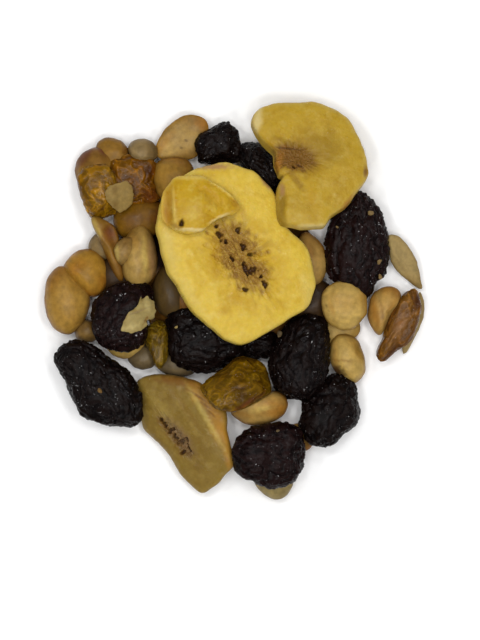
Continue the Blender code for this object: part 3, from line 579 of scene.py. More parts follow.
class Pile:
    """What lies so far: the middles of the fused pieces, their whole forms, and the chips.
    Fused pieces nestle into each other sideways, so only their middles hold each other up."""

    def __init__(self):
        self.middles = HeightMap()
        self.wholes = HeightMap()
        self.chips = HeightMap()

    def inner(self, points, middle):
        """The middle of a piece: its points drawn in sideways."""
        drawn = points.copy()
        drawn[:, :2] = middle + NESTLE * (points[:, :2] - middle)
        return drawn

    def rest(self, points, middle, is_chip):
        """How far a piece is raised to lie on the pile."""
        on_chips = self.chips.lift(points, GAP)
        floor = -points[:, 2].min()
        if is_chip:
            return max(floor, self.wholes.lift(points, GAP), on_chips)
        return max(floor - PRESSED_FLAT, self.middles.lift(self.inner(points, middle), -SINK), on_chips)

    def add(self, points, middle, is_chip):
        if is_chip:
            self.chips.add(points)
        else:
            self.wholes.add(points)
            self.middles.add(self.inner(points, middle))


def settle(pile, fine, pose, middle, free, is_chip, held=0.0):
    """Lays a piece with the tilt, within its free range, at which its middle comes to lie lowest."""
    steps = (0.0,) if free == 0 else np.linspace(-free, free, 7)
    middle = np.array(middle)
    best = None
    for pitch in steps:
        for roll in steps:
            matrix = pose(pitch, roll)
            points = fine @ matrix.T
            points[:, :2] += middle
            lift = pile.rest(points, middle, is_chip)
            level = lift + points[:, 2].mean()
            if best is None or level < best[0] - 0.02:
                best = (level, matrix, lift)
    _, matrix, lift = best
    place = np.array((middle[0], middle[1], lift + held))
    pile.add(fine @ matrix.T + place, middle, is_chip)
    return matrix, place


def lay_chip(pile, name):
    """Turn and place of a chip, whose slope rises in its own direction."""
    _, middle, _, _, slope, rising, free, _, _ = CHIPS[name]

    def pose(pitch, roll):
        return turn_about(2, rising) @ turn_about(1, pitch - slope) @ turn_about(0, roll)

    rim = chip_rim(name, CHIPS[name][0], full_turn(DROP_CHIP_FACETS[0]))
    return settle(pile, chip_form(name, rim, *DROP_CHIP_FACETS[1:]), pose, middle, free, True)


def lay_piece(pile, row, seed):
    """Turn and place of a raisin, nut, seed or flake."""
    name, kind, across, along, length, width, height, turned, free, _ = row
    pitched, rolled = LEANS.get(name, (0, 0))

    def pose(pitch, roll):
        return turn_about(2, turned) @ turn_about(1, pitched + pitch) @ turn_about(0, rolled + roll)

    fine = oval_unit(kind, seed, DROP_FACETS)[0] * np.array((length, width, height)) / 2.0
    return settle(pile, fine, pose, (across, along), free, False, HELD.get(name, 0.0))


def core_points(around, along):
    """Mound: height falls from the middle as one less the square of the radius, with a slow wave on it."""
    turn = full_turn(around)
    share = np.concatenate((np.arange(1, along) / along, (1.0, 1.0)))
    reach = CORE_REACH * (1.0 + 0.08 * np.sin(3.0 * turn + 0.6) + 0.05 * np.cos(2.0 * turn))
    x, y = np.array(rings(share, reach, turn)) + np.array(CORE_MIDDLE)[:, None]
    z = np.append(np.repeat(CORE_HEIGHT * (1.0 - share ** 2), around), (CORE_HEIGHT, -1.0))
    z[:-2] = np.maximum(z[:-2] + CORE_WAVE * np.sin(0.5 * x[:-2]) * np.cos(0.6 * y[:-2]), 1.0)
    z[-2 - around:-2] = -1.0
    return np.column_stack((x, y, z))


def lay_all():
    """Turn and place of every chip and piece, in the order that they lie in from the bottom."""
    pile = Pile()
    pile.wholes.add(core_points(*CORE_FACETS))
    laid = {}
    for seed, row in enumerate(PIECES):
        laid[row[0]] = lay_piece(pile, row, seed)
        for chip in CHIP_AFTER.get(row[0], ()):
            laid[chip] = lay_chip(pile, chip)
    return laid


class Part:
    """One closed grid of rings with a point at each end, and what its material reads at each point."""

    def __init__(self, points, around, tint, own, gloss):
        rows = (len(points) - 2) // around
        column = np.arange(around)
        beside = (column + 1) % around
        low = (np.arange(rows - 1) * around)[:, None]
        square = (low + beside, low + column, low + around + column, low + around + beside)
        self.squares = np.stack(square, 2).reshape(-1, 4)
        first = rows * around
        final = (rows - 1) * around
        ends = (
            np.column_stack((np.full(around, first), column, beside)),
            np.column_stack((np.full(around, first + 1), final + beside, final + column)),
        )
        self.triangles = np.concatenate(ends)
        self.points = points
        self.tint = tint
        self.own = own
        self.gloss = gloss
        fan = np.concatenate((self.squares[:, :3], self.squares[:, (0, 2, 3)], self.triangles))
        a, b, c = (points[fan[:, index]] for index in range(3))
        if np.sum(a * np.cross(b, c)) < 0.0:
            self.squares = self.squares[:, ::-1]
            self.triangles = self.triangles[:, ::-1]


def make_piece(name, parts, material, node):
    """One mesh of all the parts, which stands for the node, with each point's tint, own place and gloss."""
    starts = np.cumsum([0] + [len(part.points) for part in parts])
    points = np.concatenate([part.points for part in parts])
    points[:, 2] = np.maximum(points[:, 2], 0.0)
    squares = np.concatenate([part.squares + start for part, start in zip(parts, starts)])
    triangles = np.concatenate([part.triangles + start for part, start in zip(parts, starts)])
    corners = np.concatenate((squares.ravel(), triangles.ravel())).astype(np.int32)
    sizes = np.repeat((4, 3), (len(squares), len(triangles)))
    mesh = bpy.data.meshes.new(name)
    mesh.vertices.add(len(points))
    mesh.vertices.foreach_set("co", (points * MM).ravel())
    mesh.loops.add(len(corners))
    mesh.loops.foreach_set("vertex_index", corners)
    mesh.polygons.add(len(sizes))
    mesh.polygons.foreach_set("loop_start", (np.cumsum(sizes) - sizes).astype(np.int32))
    mesh.update(calc_edges=True)
    colours = np.concatenate([part.tint for part in parts])
    colours = np.column_stack((colours, np.ones(len(colours))))
    own = np.concatenate([part.own for part in parts])
    gloss = np.concatenate([part.gloss for part in parts])
    mesh.attributes.new("tint", "FLOAT_COLOR", "POINT").data.foreach_set("color", colours.ravel())
    mesh.attributes.new("own", "FLOAT_VECTOR", "POINT").data.foreach_set("vector", own.ravel())
    mesh.attributes.new("gloss", "FLOAT", "POINT").data.foreach_set("value", gloss)
    mesh.validate()
    mesh.shade_smooth()
    made = bpy.data.objects.new(name, mesh)
    bpy.context.scene.collection.objects.link(made)
    made.data.materials.append(material)
    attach(made, "root")
    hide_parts(node)


# Materials

# Pale specks, painted glints that stand partly for sugar: scale of their noise and where on it they start
# and are full; and how far each colour scatters
GLINT_SPECK_SCALE = 2.4
GLINT_SPECK_RANGE = (0.67, 0.75)
SCATTER_TINT = (1.0, 0.6, 0.25)


def add_node(tree, kind, output, settings=(), first=(), **inputs):
    """One output of a new node with its settings. What goes into its first sockets comes in order, the rest
    by name, and a value that is itself a socket is linked."""
    made = tree.nodes.new(kind)
    for key, value in dict(settings).items():
        setattr(made, key, value)
    named = [(made.inputs[key.replace("_", " ")], value) for key, value in inputs.items()]
    for socket, value in [*zip(made.inputs, first), *named]:
        if isinstance(value, bpy.types.NodeSocket):
            tree.links.new(value, socket)
        else:
            socket.default_value = value
    return made.outputs[output]


def food_material(name, specular, glint_specks, scatter, scatter_depth, mottle, dry, wet, grain):
    """Food: the tint of each point, mottled by noise of its own place, with pale specks where a fine noise
    is high and the skin glossy, which are painted glints standing partly for sugar, roughness between dry
    and wet by each point's gloss, light that scatters under the skin, and a fine grain as bump. Mottle and
    grain are each a scale and a strength."""
    material = bpy.data.materials.new(name)
    material.use_nodes = True
    tree = material.node_tree
    shader = tree.nodes["Principled BSDF"]
    tint, own, gloss = (
        add_node(tree, "ShaderNodeAttribute", output, {"attribute_name": attribute})
        for attribute, output in (("tint", "Color"), ("own", "Vector"), ("gloss", "Fac"))
    )

    def cloud(scale, detail, rough):
        return add_node(
            tree, "ShaderNodeTexNoise", "Fac", Vector=own, Scale=scale, Detail=detail, Roughness=rough,
        )

    shade = add_node(
        tree, "ShaderNodeMapRange", "Result", Value=cloud(mottle[0], 4.0, 0.6), From_Min=0.3, From_Max=0.7,
        To_Min=1.0 - mottle[1], To_Max=1.0 + mottle[1],
    )
    mottled = add_node(tree, "ShaderNodeVectorMath", "Vector", {"operation": "SCALE"}, (tint,), Scale=shade)
    # Painted glints: pale specks added to the colour where the noise is high, scaled by the gloss
    glint_speck = add_node(
        tree, "ShaderNodeMapRange", "Result", Value=cloud(GLINT_SPECK_SCALE, 2.0, 0.6), From_Min=GLINT_SPECK_RANGE[0],
        From_Max=GLINT_SPECK_RANGE[1], To_Min=0.0, To_Max=glint_specks,
    )
    glints_shown = add_node(tree, "ShaderNodeMath", "Value", {"operation": "MULTIPLY"}, (glint_speck, gloss))
    colour = add_node(tree, "ShaderNodeVectorMath", "Vector", {"operation": "ADD"}, (mottled, glints_shown))
    rough = add_node(tree, "ShaderNodeMapRange", "Result", Value=gloss, To_Min=dry, To_Max=wet)
    pebble = cloud(grain[0], 3.0, 0.55)
    bump = add_node(
        tree, "ShaderNodeBump", "Normal", Strength=1.0, Distance=grain[1] * MM, Height=pebble,
    )
    for socket, value in (("Base Color", colour), ("Roughness", rough), ("Normal", bump)):
        tree.links.new(value, shader.inputs[socket])
    shader.inputs["Specular IOR Level"].default_value = specular
    shader.inputs["Subsurface Weight"].default_value = scatter
    shader.inputs["Subsurface Scale"].default_value = scatter_depth * MM
    shader.inputs["Subsurface Radius"].default_value = SCATTER_TINT
    return material


# Paints of the patches
PAINTS = {
    "brown": (0.17, 0.075, 0.012), "dark": (0.045, 0.016, 0.005), "red_brown": (0.11, 0.028, 0.007),
    "orange": (0.38, 0.18, 0.018), "burnt": (0.28, 0.115, 0.012), "amber": (0.42, 0.235, 0.009),
    "gold": (0.50, 0.31, 0.014), "pale": (0.58, 0.44, 0.11), "cream": (0.60, 0.48, 0.20),
    "olive": (0.24, 0.140, 0.010), "pink": (0.34, 0.18, 0.080), "mauve": (0.20, 0.125, 0.060),
    "grey": (0.24, 0.17, 0.08),
}

# How far a patch's edge wanders, and at which distances from its middle its paint starts and is full
PATCH_RAGGED = 0.4
PATCH_EDGE = (1.5, 0.2)

# Patches: place seen from above, half length, half width, the way that its length points, paint, how much of
# it, and how far it rises. Most are the thing's own colour; those marked below are painted shade or painted
# highlight
PATCHES = {
    "centre": (
        (-3.4, 22.4, 3.2, 0.6, 0, "pink", 0.85, 0), (5.3, 19.7, 1.3, 0.5, -50, "pink", 0.8, 0),
        # The burnt patch at 8.2, 15.6 is painted shade where this slice meets the back slice
        (8.2, 15.6, 1.2, 0.5, -60, "burnt", 0.5, 0), (-3.6, 8.8, 1.4, 2.6, 10, "amber", 0.6, -0.05),
        (-3, 5.2, 2.2, 1.4, -55, "amber", 0.65, -0.1), (0.6, 0.2, 3.2, 1.4, -30, "amber", 0.5, -0.1),
        (-1.6, -1.4, 1.2, 1, 20, "amber", 0.6, 0), (6.4, 7, 3.4, 1.1, -10, "gold", 0.7, -0.1),
        (7, 3.4, 1.4, 2.6, 10, "gold", 0.5, -0.1), (-0.6, 13.6, 3, 1.2, -30, "olive", 0.35, -0.1),
        (12.2, 1.4, 1, 3.6, 5, "pale", 0.6, 0.1), (-10.8, 9, 1.2, 4.4, 12, "pale", 0.7, 0.1),
        (-7.4, 1.4, 4.6, 1, -56, "pale", 0.5, 0.1),
    ),
    "scrap": (
        # The burnt band at -11, 15.6 is a browned edge, darkened partly as painted shade, and lowered
        (-11, 15.6, 0.8, 4.2, 2, "burnt", 0.55, -0.5), (-9.9, 15.4, 0.3, 3.6, 2, "pale", 0.5, 0.15),
        (-8.7, 12.9, 0.4, 0.5, 0, "dark", 0.85, -0.25), (-9.4, 12.3, 1.4, 0.5, -30, "brown", 0.55, 0),
        (-5.8, 11.8, 3.6, 0.35, -2, "cream", 0.9, 0.1), (-2.3, 13.9, 1.9, 0.3, 26, "cream", 0.9, 0.3),
        # Along the fold: the pale line at -1.9, 18.8 is a painted highlight on the ridge, and the amber band
        # at -3.4, 17 beside it is painted shade
        (-1.9, 18.8, 4.2, 0.35, -37, "pale", 0.8, 0.5), (-3.4, 17, 3.6, 0.9, -38, "amber", 0.6, -0.35),
        (-6.2, 20.5, 3.6, 0.4, 0, "pale", 0.5, 0.1), (-6.6, 15.2, 2.2, 1.6, 20, "pale", 0.3, 0.15),
        (-4, 14.6, 2.4, 0.4, -30, "gold", 0.5, -0.2), (0.2, 16.2, 1.2, 1, -50, "burnt", 0.45, -0.2),
    ),
    "back": (
        (3.8, 29.8, 0.8, 2.6, -14, "cream", 0.85, 0), (13.2, 12.5, 3.6, 0.45, 2, "cream", 0.7, 0),
        (18.6, 16.1, 2.1, 0.45, 55, "burnt", 0.75, 0), (21.9, 21.6, 0.45, 0.9, 0, "brown", 0.9, -0.3),
        # The olive patch at 7.9, 15.4 is painted shade on the side wall of the torn edge, which it also
        # lowers; the olive patch at 14.4, 25.4 darkens the middle of the flesh, partly as painted shade
        (7.9, 15.4, 0.8, 4, 0, "olive", 0.95, -0.4), (8, 18.6, 0.5, 1, 0, "pink", 0.7, 0),
        (14.4, 25.4, 4.6, 3.2, 0, "olive", 0.6, -0.05), (10.2, 23.8, 3.8, 2.5, -12, "brown", 0.75, -0.1),
        (7.2, 23, 0.8, 2.6, -20, "burnt", 0.8, -0.1), (8.6, 26.6, 2.4, 0.5, -16, "olive", 0.6, 0),
        (10.6, 19.8, 1.8, 0.6, -50, "brown", 0.5, -0.1), (10.8, 22.6, 0.7, 0.2, -20, "dark", 0.8, -0.2),
        (8.8, 25.5, 2.2, 0.15, -6, "dark", 0.7, -0.15), (13, 17.6, 1, 3, 10, "amber", 0.4, 0),
    ),
    "front": (
        # The brown band at -8.8, -13.1 is painted shade on the side wall along the top edge
        (-8.8, -13.1, 5.4, 1, -8, "brown", 0.95, -0.1), (-5, -15.6, 3, 1.5, -46, "orange", 0.7, 0),
        (-2.6, -19.8, 1.5, 4.6, 14, "orange", 0.75, -0.05), (-1, -24.6, 0.8, 3.2, 8, "orange", 0.7, 0),
        (-6.9, -15.1, 1.4, 0.2, -30, "brown", 0.8, -0.05),
        (-5.7, -15.9, 1.3, 0.2, -33, "brown", 0.8, -0.05),
        (-4.7, -17.2, 1.1, 0.2, -36, "brown", 0.7, -0.05), (-3.8, -18.6, 1, 0.2, -42, "brown", 0.7, -0.05),
        (-5, -14.6, 1, 0.2, -20, "brown", 0.7, -0.05), (-3.6, -16.2, 1, 0.2, -30, "brown", 0.7, -0.05),
        (-4.6, -19.4, 6.4, 0.5, -60, "pale", 0.4, 0.1), (-7.4, -18.6, 5.4, 0.5, -54, "brown", 0.22, -0.05),
        (-8.7, -22.4, 3.6, 1, -54, "mauve", 0.6, -0.05), (-12.4, -17.6, 4, 1, -50, "pale", 0.15, 0.05),
    ),
    "nut_split_back": (
        (-5.2, 29.8, 1.6, 1.1, -50, "burnt", 0.8, 0), (-12, 26.2, 0.7, 3.6, -40, "orange", 0.5, 0),
        (-8, 27, 0.35, 0.25, 0, "dark", 0.8, 0), (-8.8, 25.8, 0.25, 0.2, 0, "dark", 0.7, 0),
    ),
    "nut_split_left": (
        # The pale stripe at -14.9, 7.6 is a painted highlight; the brown line at -18.2, 8.4 is painted shade
        # in the crease by the lobe
        (-14.9, 7.6, 0.5, 2.8, 4, "pale", 0.4, 0), (-13.6, 7, 0.7, 3.6, 4, "pink", 0.6, -0.05),
        (-18.2, 8.4, 0.35, 2.6, 10, "brown", 0.7, -0.3),
    ),
    "nut_split_lobe": ((-19.6, 8.4, 0.4, 2.2, 8, "pale", 0.4, 0.1),),
    "nut_left_back": (
        (-25, 24.4, 2.6, 0.9, 50, "red_brown", 0.8, 0), (-22, 25.3, 1.2, 0.5, -40, "red_brown", 0.8, -0.2),
    ),
    "nut_orange_left": ((-26.4, 5.8, 2, 1.2, 60, "burnt", 0.5, 0),),
    "nut_right": (
        # The brown line at 24.7, -1.6 is painted shade in the crease, which it also lowers
        (23.4, -1.4, 0.9, 3.6, 10, "burnt", 0.75, 0), (24.7, -1.6, 0.3, 3, 12, "brown", 0.5, -0.15),
    ),
    "nut_front_right": (
        (17.3, -11.6, 1.5, 0.8, -40, "dark", 0.95, -0.7), (18.6, -9.8, 2.8, 0.2, -4, "brown", 0.5, -0.1),
        (16.8, -9, 0.6, 2.4, 0, "burnt", 0.4, 0),
    ),
    "nut_round_right": (
        # The orange and burnt dents at 18.8, -0.2 and 16.2, -1 are painted shade in the dimples
        (18.8, -0.2, 1.7, 1.5, 0, "orange", 0.25, -0.3), (16.2, -1, 0.4, 1.2, 20, "burnt", 0.4, -0.1),
        (15.4, -0.6, 0.15, 0.3, 20, "dark", 0.6, 0), (15.8, -1.4, 0.2, 0.15, 0, "dark", 0.5, 0),
    ),
    "half_leaning": (
        # The red-brown and brown patches at -20.6, 11.2 and -19.7, 9 darken the hollow, as painted shade,
        # and lower it
        (-20.6, 11.2, 1.1, 1.9, 30, "red_brown", 0.85, -0.6), (-19.7, 9, 0.6, 2.4, 16, "brown", 0.8, -0.4),
        (-23.2, 12.8, 0.6, 2.4, 24, "pale", 0.4, 0.1),
    ),
    "golden_brown": (
        (27.8, -4, 2.4, 0.8, 61, "pink", 0.5, 0.35), (27.8, -4, 4, 1.6, 61, "brown", 0.3, -0.35),
    ),
    "golden_right": ((-13.8, 17.8, 1.6, 2, 20, "red_brown", 0.6, 0),),
    "golden_front": ((2.2, -16.9, 3, 0.5, 32, "red_brown", 0.7, -0.1),),
    "nut_front": ((4.6, -17.8, 2.2, 0.5, 10, "pale", 0.4, 0), (1.2, -18.6, 2.2, 0.6, -24, "burnt", 0.4, 0)),
    "flake_skin": (
        (-14.6, -2.9, 1, 0.2, 60, "brown", 0.8, -0.1), (-15.9, -1.6, 1.8, 0.15, 20, "grey", 0.8, -0.15),
        (-17.2, -4.2, 1.4, 0.5, 16, "cream", 0.4, 0.1), (-14.3, -0.4, 0.5, 1.6, 10, "cream", 0.4, 0.1),
    ),
    "nut_amber": ((-12.8, 14, 1.4, 1.6, 0, "red_brown", 0.4, 0),),
}


# Raisins, nuts, seeds and flakes

# Folds and wrinkles: cell of the noise along and across the piece, and how high they stand
LONG_FOLDS = ((6.0, 2.6, 2.6), 0.28)
SHORT_FOLDS = ((2.2, 1.1, 1.1), 0.20)
WRINKLES = ((0.85, 0.55, 0.55), 0.19)
SLACK_FOLDS = ((3.0, 1.9, 1.9), 0.20)

# Threads on golden raisins: cell of the noise, how near to zero it is on a thread, height and painted
# highlight
THREADS = ((1.2, 1.2, 1.2), 0.09, 0.06, 0.9)
FINE_THREADS = (0.9, 0.11, 0.04, 0.5)

# How far a piece's own place lies from the next one's, so that no two read the same noise
OWN_STEP = 40.0

# Flakes: lift off what they lie on, rounding of the outline in degrees, least and most bend
FLAKE_LIFT = 0.45
FLAKE_ROUNDING = 1.2
FLAKE_BEND = (-0.07, 0.02)


def outward(form, size):
    """Direction straight out of an oval of that size at each of its points."""
    away = form / np.array(size) ** 2
    return away / np.maximum(np.linalg.norm(away, axis=1), 1e-9)[:, None]


def raisin_relief(form, seed):
    """Long folds, shorter folds across them and fine wrinkles: three sizes of pillows, on warped places.
    Each relief comes with how creased each point is, which the tint shows as painted shade, and how much
    lighter its skin is."""
    bent = warped(form, 3.6, 1.1, 100 + seed)
    long_folds = pillows(bent, LONG_FOLDS[0], 200 + seed)
    short_folds = pillows(bent, SHORT_FOLDS[0], 300 + seed)
    wrinkles = pillows(warped(form, 1.2, 0.35, 400 + seed), WRINKLES[0], 500 + seed)
    relief = LONG_FOLDS[1] * (long_folds - 0.55) + SHORT_FOLDS[1] * (short_folds - 0.5)
    relief += WRINKLES[1] * (wrinkles - 0.5)
    # The creases of the short folds go towards the end tone: painted shade.
    return relief, 1.0 - smooth(0.05, 0.75, short_folds), np.zeros(len(form))


def golden_relief(form, seed):
    """Slack folds along the raisin, longer on a long one, with two sizes of thin raised threads that wind
    over them where a bent noise is near zero. The threads are painted lighter, as painted highlight, and the
    fold creases darker, as painted shade."""
    stretch = np.array(((np.ptp(form[:, 0]) / np.ptp(form[:, 1])) ** 2, 1.0, 1.0))
    bent = warped(form, 1.8, 0.8, 100 + seed)
    folds = pillows(bent, SLACK_FOLDS[0] * stretch, 200 + seed)
    # The lightness of the threads is painted highlight
    cell, width, height, light = THREADS
    threads = np.exp(-(noise(bent, cell * stretch, 300 + seed) / width) ** 2)
    fine_cell, fine_width, fine_height, fine_highlight = FINE_THREADS
    fine = np.exp(-(noise(warped(form, 0.9, 0.4, 400 + seed), fine_cell, 500 + seed) / fine_width) ** 2)
    relief = SLACK_FOLDS[1] * (folds - 0.55) + height * threads + fine_height * fine
    # Darkening: half of it is painted shade in the fold creases, half dull patches at random
    dull = 0.5 * (1.0 - smooth(0.1, 0.9, folds)) + 0.5 * smooth(0.0, 0.6, noise(form, 2.6, 600 + seed))
    return relief, dull, light * threads + fine_highlight * fine


def small_relief(form, seed):
    """Nut or seed: a faint slow unevenness and faint lines along it. It has no creases."""
    lines = noise(form, (5.0, 0.7, 0.7), 300 + seed)
    relief = 0.14 * noise(form, 3.2, 100 + seed) + 0.03 * noise(form, 1.0, 200 + seed) + 0.015 * lines
    return relief, np.zeros(len(form)), 0.14 * lines + 0.10 * noise(form, 2.0, 400 + seed)


RELIEFS = {"raisin": raisin_relief, "golden": golden_relief}


def paint(name, points, tint, upper, seed):
    """Patches of the piece, each an oval with a ragged edge as seen from above: its paint goes on the upper
    side, which it also raises or lowers."""
    for index, patch in enumerate(PATCHES.get(name, ())):
        x, y, half_long, half_wide, lie, colour, weight, rise = patch
        long_way, wide_way = along_across(points[:, :2] - np.array((x, y)), lie)
        away = np.hypot(long_way / half_long, wide_way / half_wide)
        near = np.flatnonzero((away < 2.0) & upper)
        wander = noise(points[near] * (1.0, 1.0, 0.0), 0.3 + 0.5 * half_wide, seed + index)
        share = smooth(PATCH_EDGE[0], PATCH_EDGE[1], away[near] + PATCH_RAGGED * wander)
        tint[near] = toward(tint[near], PAINTS[colour], weight * share)
        points[near, 2] += rise * share


def build_part(row, seed, laid):
    """One finished piece: its oval, the relief of its kind pushed straight out of it, the turn and place
    that it was laid with, its own outline and its patches. Its tint goes from the body's to the end tone in
    creases, as painted shade, or on a smooth kind at one end and, as painted shade, down its sides where
    they face away from above."""
    name, kind, _, _, length, width, height = row[:7]
    share = np.interp(length, *zip(*FACETS_BY_LENGTH)) if kind == "raisin" else 1.0
    around, along = (int(share * count) for count in KINDS[kind][-1])
    unit, even = oval_unit(kind, seed, (around, along))
    size = np.array((length, width, height)) / 2.0
    form = unit * size
    relief, browning_and_shade, light = RELIEFS.get(kind, small_relief)(form, seed)
    matrix, place = laid[name]
    out = outward(form, size)
    up = (out @ matrix.T)[:, 2]
    if kind not in RELIEFS:
        slow = noise(even, 0.8, 600 + seed)
        browning_and_shade = 0.7 * smooth(0.1, 1.0, even[:, 0] + 0.5 * slow) + 0.3 * smooth(0.0, 0.6, slow)
        # Painted shade: darker down the sides and underneath, where the surface faces away from above
        browning_and_shade += smooth(0.65, 0.0, up)
    gloss = smooth(-0.25, 0.5, noise(form, 1.3, 700 + seed))
    body, end = TONES[row[-1]]
    # Towards the end tone by browning and painted shade, and lighter by the lines, which on golden raisins
    # are painted highlight along the threads
    tint = toward(np.tile(body, (len(form), 1)), end, browning_and_shade) * (1.0 + light[:, None])
    place = place + np.array((0.0, 0.0, RAISED.get(name, 0.0)))
    base = oval_unit(kind, seed, DROP_FACETS)[0] * size @ matrix.T + place
    made = (form + out * relief[:, None]) @ matrix.T + place
    made = fit_outline(made, base, name, place[:2])
    paint(name, made, tint, up > -0.1, 800 + seed)
    return Part(made, around, tint, form + OWN_STEP * seed, gloss)


def build_flake(row, seed, heights):
    """Thin flake bent over what lies below it: a plane and a bowl fitted to the heights under its outline
    carry a lens that is thin at its ragged rim."""
    name, kind, across, along, _, _, height = row[:7]
    around, rows = KINDS[kind][-1]
    turn = full_turn(around)
    corners = np.array(OUTLINES[name]) - (across, along)
    rim = reach_of(corners[:, 0], corners[:, 1], turn, FLAKE_ROUNDING)
    circle = np.column_stack((3.0 * np.cos(turn), 3.0 * np.sin(turn), np.zeros(around)))
    rim *= 1.0 + 0.05 * noise(circle, 0.5, seed)
    bend = math.pi * np.arange(1, rows) / rows
    x, y = rings(np.sin(bend), rim, turn)
    steps = np.linspace(-3.0, 3.0, 9)
    spots = np.array([(a, b) for a in steps for b in steps])
    tops = np.array([heights.height(across + a, along + b) for a, b in spots])
    found = np.isfinite(tops)
    spots, tops = spots[found], tops[found]
    terms = np.column_stack((np.ones(len(spots)), spots, np.sum(spots ** 2, axis=1)))
    fit = np.linalg.lstsq(terms, tops, rcond=None)[0]
    fit[3] = np.clip(fit[3], *FLAKE_BEND)
    rest = np.mean(tops - terms[:, 1:] @ fit[1:]) + FLAKE_LIFT
    flat = np.column_stack((x, y, np.zeros(len(x))))
    z = rest + fit[1] * x + fit[2] * y + fit[3] * (x ** 2 + y ** 2) + 0.25 * noise(flat, 2.2, seed)
    side = np.append(np.repeat(np.cos(bend), around), (1.0, -1.0))
    made = np.column_stack((x + across, y + along, z + 0.5 * height * side))
    body, end = TONES[row[-1]]
    tint = toward(np.tile(body, (len(x), 1)), end, smooth(-0.1, 0.7, noise(flat, 1.4, 30 + seed)) * 0.8)
    paint(name, made, tint, side > -0.5, 800 + seed)
    return Part(made, around, tint, flat + OWN_STEP * seed, np.full(len(x), 0.4))


# Banana chips

# Corners of the finished rims that are drawn more finely than the plain ones
FINE_CORNERS = {
    "back": (*BACK_CORNERS[:20], (7.4, 12.8), (7.0, 15.0), (7.0, 18.9), (8.4, 21.0), *BACK_CORNERS[24:]),
    "scrap": (
        (-9.8, 20.8), (-6.2, 21.1), (-5.0, 20.8), (-3.0, 19.5), (-1.2, 18.3), (0.2, 17.2), (1.0, 16.0),
        (1.2, 15.3), (0.3, 14.8), (-0.5, 14.3), (-1.5, 14.2), (-2.7, 13.7), (-4.2, 12.5), (-5.5, 11.6),
        (-7.7, 11.2), (-9.2, 11.6), (-11.2, 12.7), (-12.0, 14.2), (-12.0, 16.7), (-11.5, 18.5),
    ),
}

# Points around the rim and rows on the face, the rim and the underside; the core as seen from above, with
# its middle, half length, half width and the way that its length points; the core's tone; the flesh with its
# deeper and its paler tone. The scrap shows no core, so its own lies outside it.
CHIP_LOOKS = {
    "centre": (
        (380, 118, 36, 10), ((1.0, 7.2), 6.2, 3.4, -55.0), (0.30, 0.165, 0.024),
        ((0.60, 0.415, 0.044), (0.50, 0.31, 0.016), (0.64, 0.48, 0.10)),
    ),
    # The back slice's flesh and core are darker than the centre slice's, partly as painted shade of a face
    # that leans away from the light
    "back": (
        (320, 96, 34, 8), ((9.6, 23.6), 3.6, 2.0, -10.0), (0.17, 0.085, 0.010),
        ((0.43, 0.275, 0.022), (0.35, 0.205, 0.010), (0.50, 0.355, 0.070)),
    ),
    # The front slice's flesh and core tones are darker copies of the banana's: painted shade of a steep face
    # that leans away from the light
    "front": (
        (320, 96, 36, 8), ((-9.0, -22.2), 4.2, 0.9, -54.0), (0.13, 0.078, 0.024),
        ((0.205, 0.130, 0.022), (0.16, 0.092, 0.012), (0.28, 0.190, 0.044)),
    ),
    "scrap": (
        (220, 56, 22, 6), ((-20.0, 10.0), 1.0, 1.0, 0.0), (0.30, 0.165, 0.024),
        ((0.47, 0.285, 0.011), (0.38, 0.200, 0.005), (0.58, 0.42, 0.07)),
    ),
}
STAIN = (0.14, 0.060, 0.010)
CORE_DARK = (0.040, 0.014, 0.006)

# Holes in the core: place seen from above, half width and half height
HOLES = {
    "centre": (
        (-3.2, 12.4, 0.25, 0.25), (-2.7, 10.8, 0.4, 0.8), (0.4, 11.7, 0.4, 0.45), (1.3, 8.9, 0.45, 0.55),
        (-0.5, 7.0, 0.25, 0.5), (2.6, 7.7, 0.45, 0.3), (1.6, 5.3, 0.4, 1.05), (2.6, 4.9, 0.95, 0.5),
        (4.2, 4.0, 0.3, 0.25), (4.8, 2.7, 0.35, 0.5), (1.5, 1.8, 0.35, 0.35), (-1.6, 9.8, 0.25, 0.3),
    ),
    "back": ((9.8, 21.8, 0.3, 0.3),),
    "front": (
        (-11.6, -19.4, 0.4, 0.3), (-10.9, -20.3, 0.3, 0.55), (-9.9, -21.2, 0.6, 0.3),
        (-9.3, -22.3, 0.3, 0.6), (-8.4, -23.1, 0.6, 0.35), (-7.4, -22.6, 0.3, 0.4),
        (-7.1, -24.0, 0.3, 0.6), (-8.0, -24.8, 0.5, 0.25),
    ),
    "scrap": ((-8.7, 12.9, 0.3, 0.4),),
}

# How much a chip thins and how far it comes down from its middle to its rim
DROOP = {"scrap": (0.55, 0.9)}


def chip_surface(name, around, face_rows, rim_rows, under_rows):
    """Fine slice: as the plain one, with a wavering rim and rings close together on the face, and the way
    out of it at each point."""
    turn = full_turn(around)
    circle = np.column_stack((np.cos(turn), np.sin(turn), np.zeros(around)))
    rim = chip_rim(name, FINE_CORNERS.get(name, CHIPS[name][0]), turn)
    rim *= 1.0 + RIM_WAVE * noise(circle, 0.18, 41)
    form = chip_form(name, rim, face_rows, rim_rows, under_rows)
    thinning, drop = DROOP.get(name, (0.0, 0.0))
    share = np.sum(form[:, :2] ** 2, axis=1)
    share /= share.max()
    form[:, 2] = form[:, 2] * (1.0 - thinning * share) - drop * share
    bend = np.linspace(0.0, math.pi, rim_rows)
    lean = np.concatenate((np.zeros(face_rows), bend, np.full(under_rows, math.pi)))
    rise = np.append(np.repeat(np.cos(lean), around), (1.0, -1.0))
    return form, np.column_stack((*rings(np.sin(lean), 1.0, turn), rise))


def pits_of(name, form, flat):
    """How deep each point lies in a ragged hole of the core, and how stained it is round one, 0 to 1."""
    pit = np.zeros(len(form))
    stain = np.zeros(len(form))
    for x, y, half_x, half_y in HOLES[name]:
        way = (form[:, :2] - onto_chip(name, [(x, y)])[0]) / np.array((half_x, half_y))
        ragged = np.hypot(way[:, 0], way[:, 1]) + 0.9 * noise(flat, 0.5, 17)
        pit = np.maximum(pit, smooth(1.3, 0.6, ragged))
        stain = np.maximum(stain, smooth(2.6, 0.6, ragged))
    return pit, stain


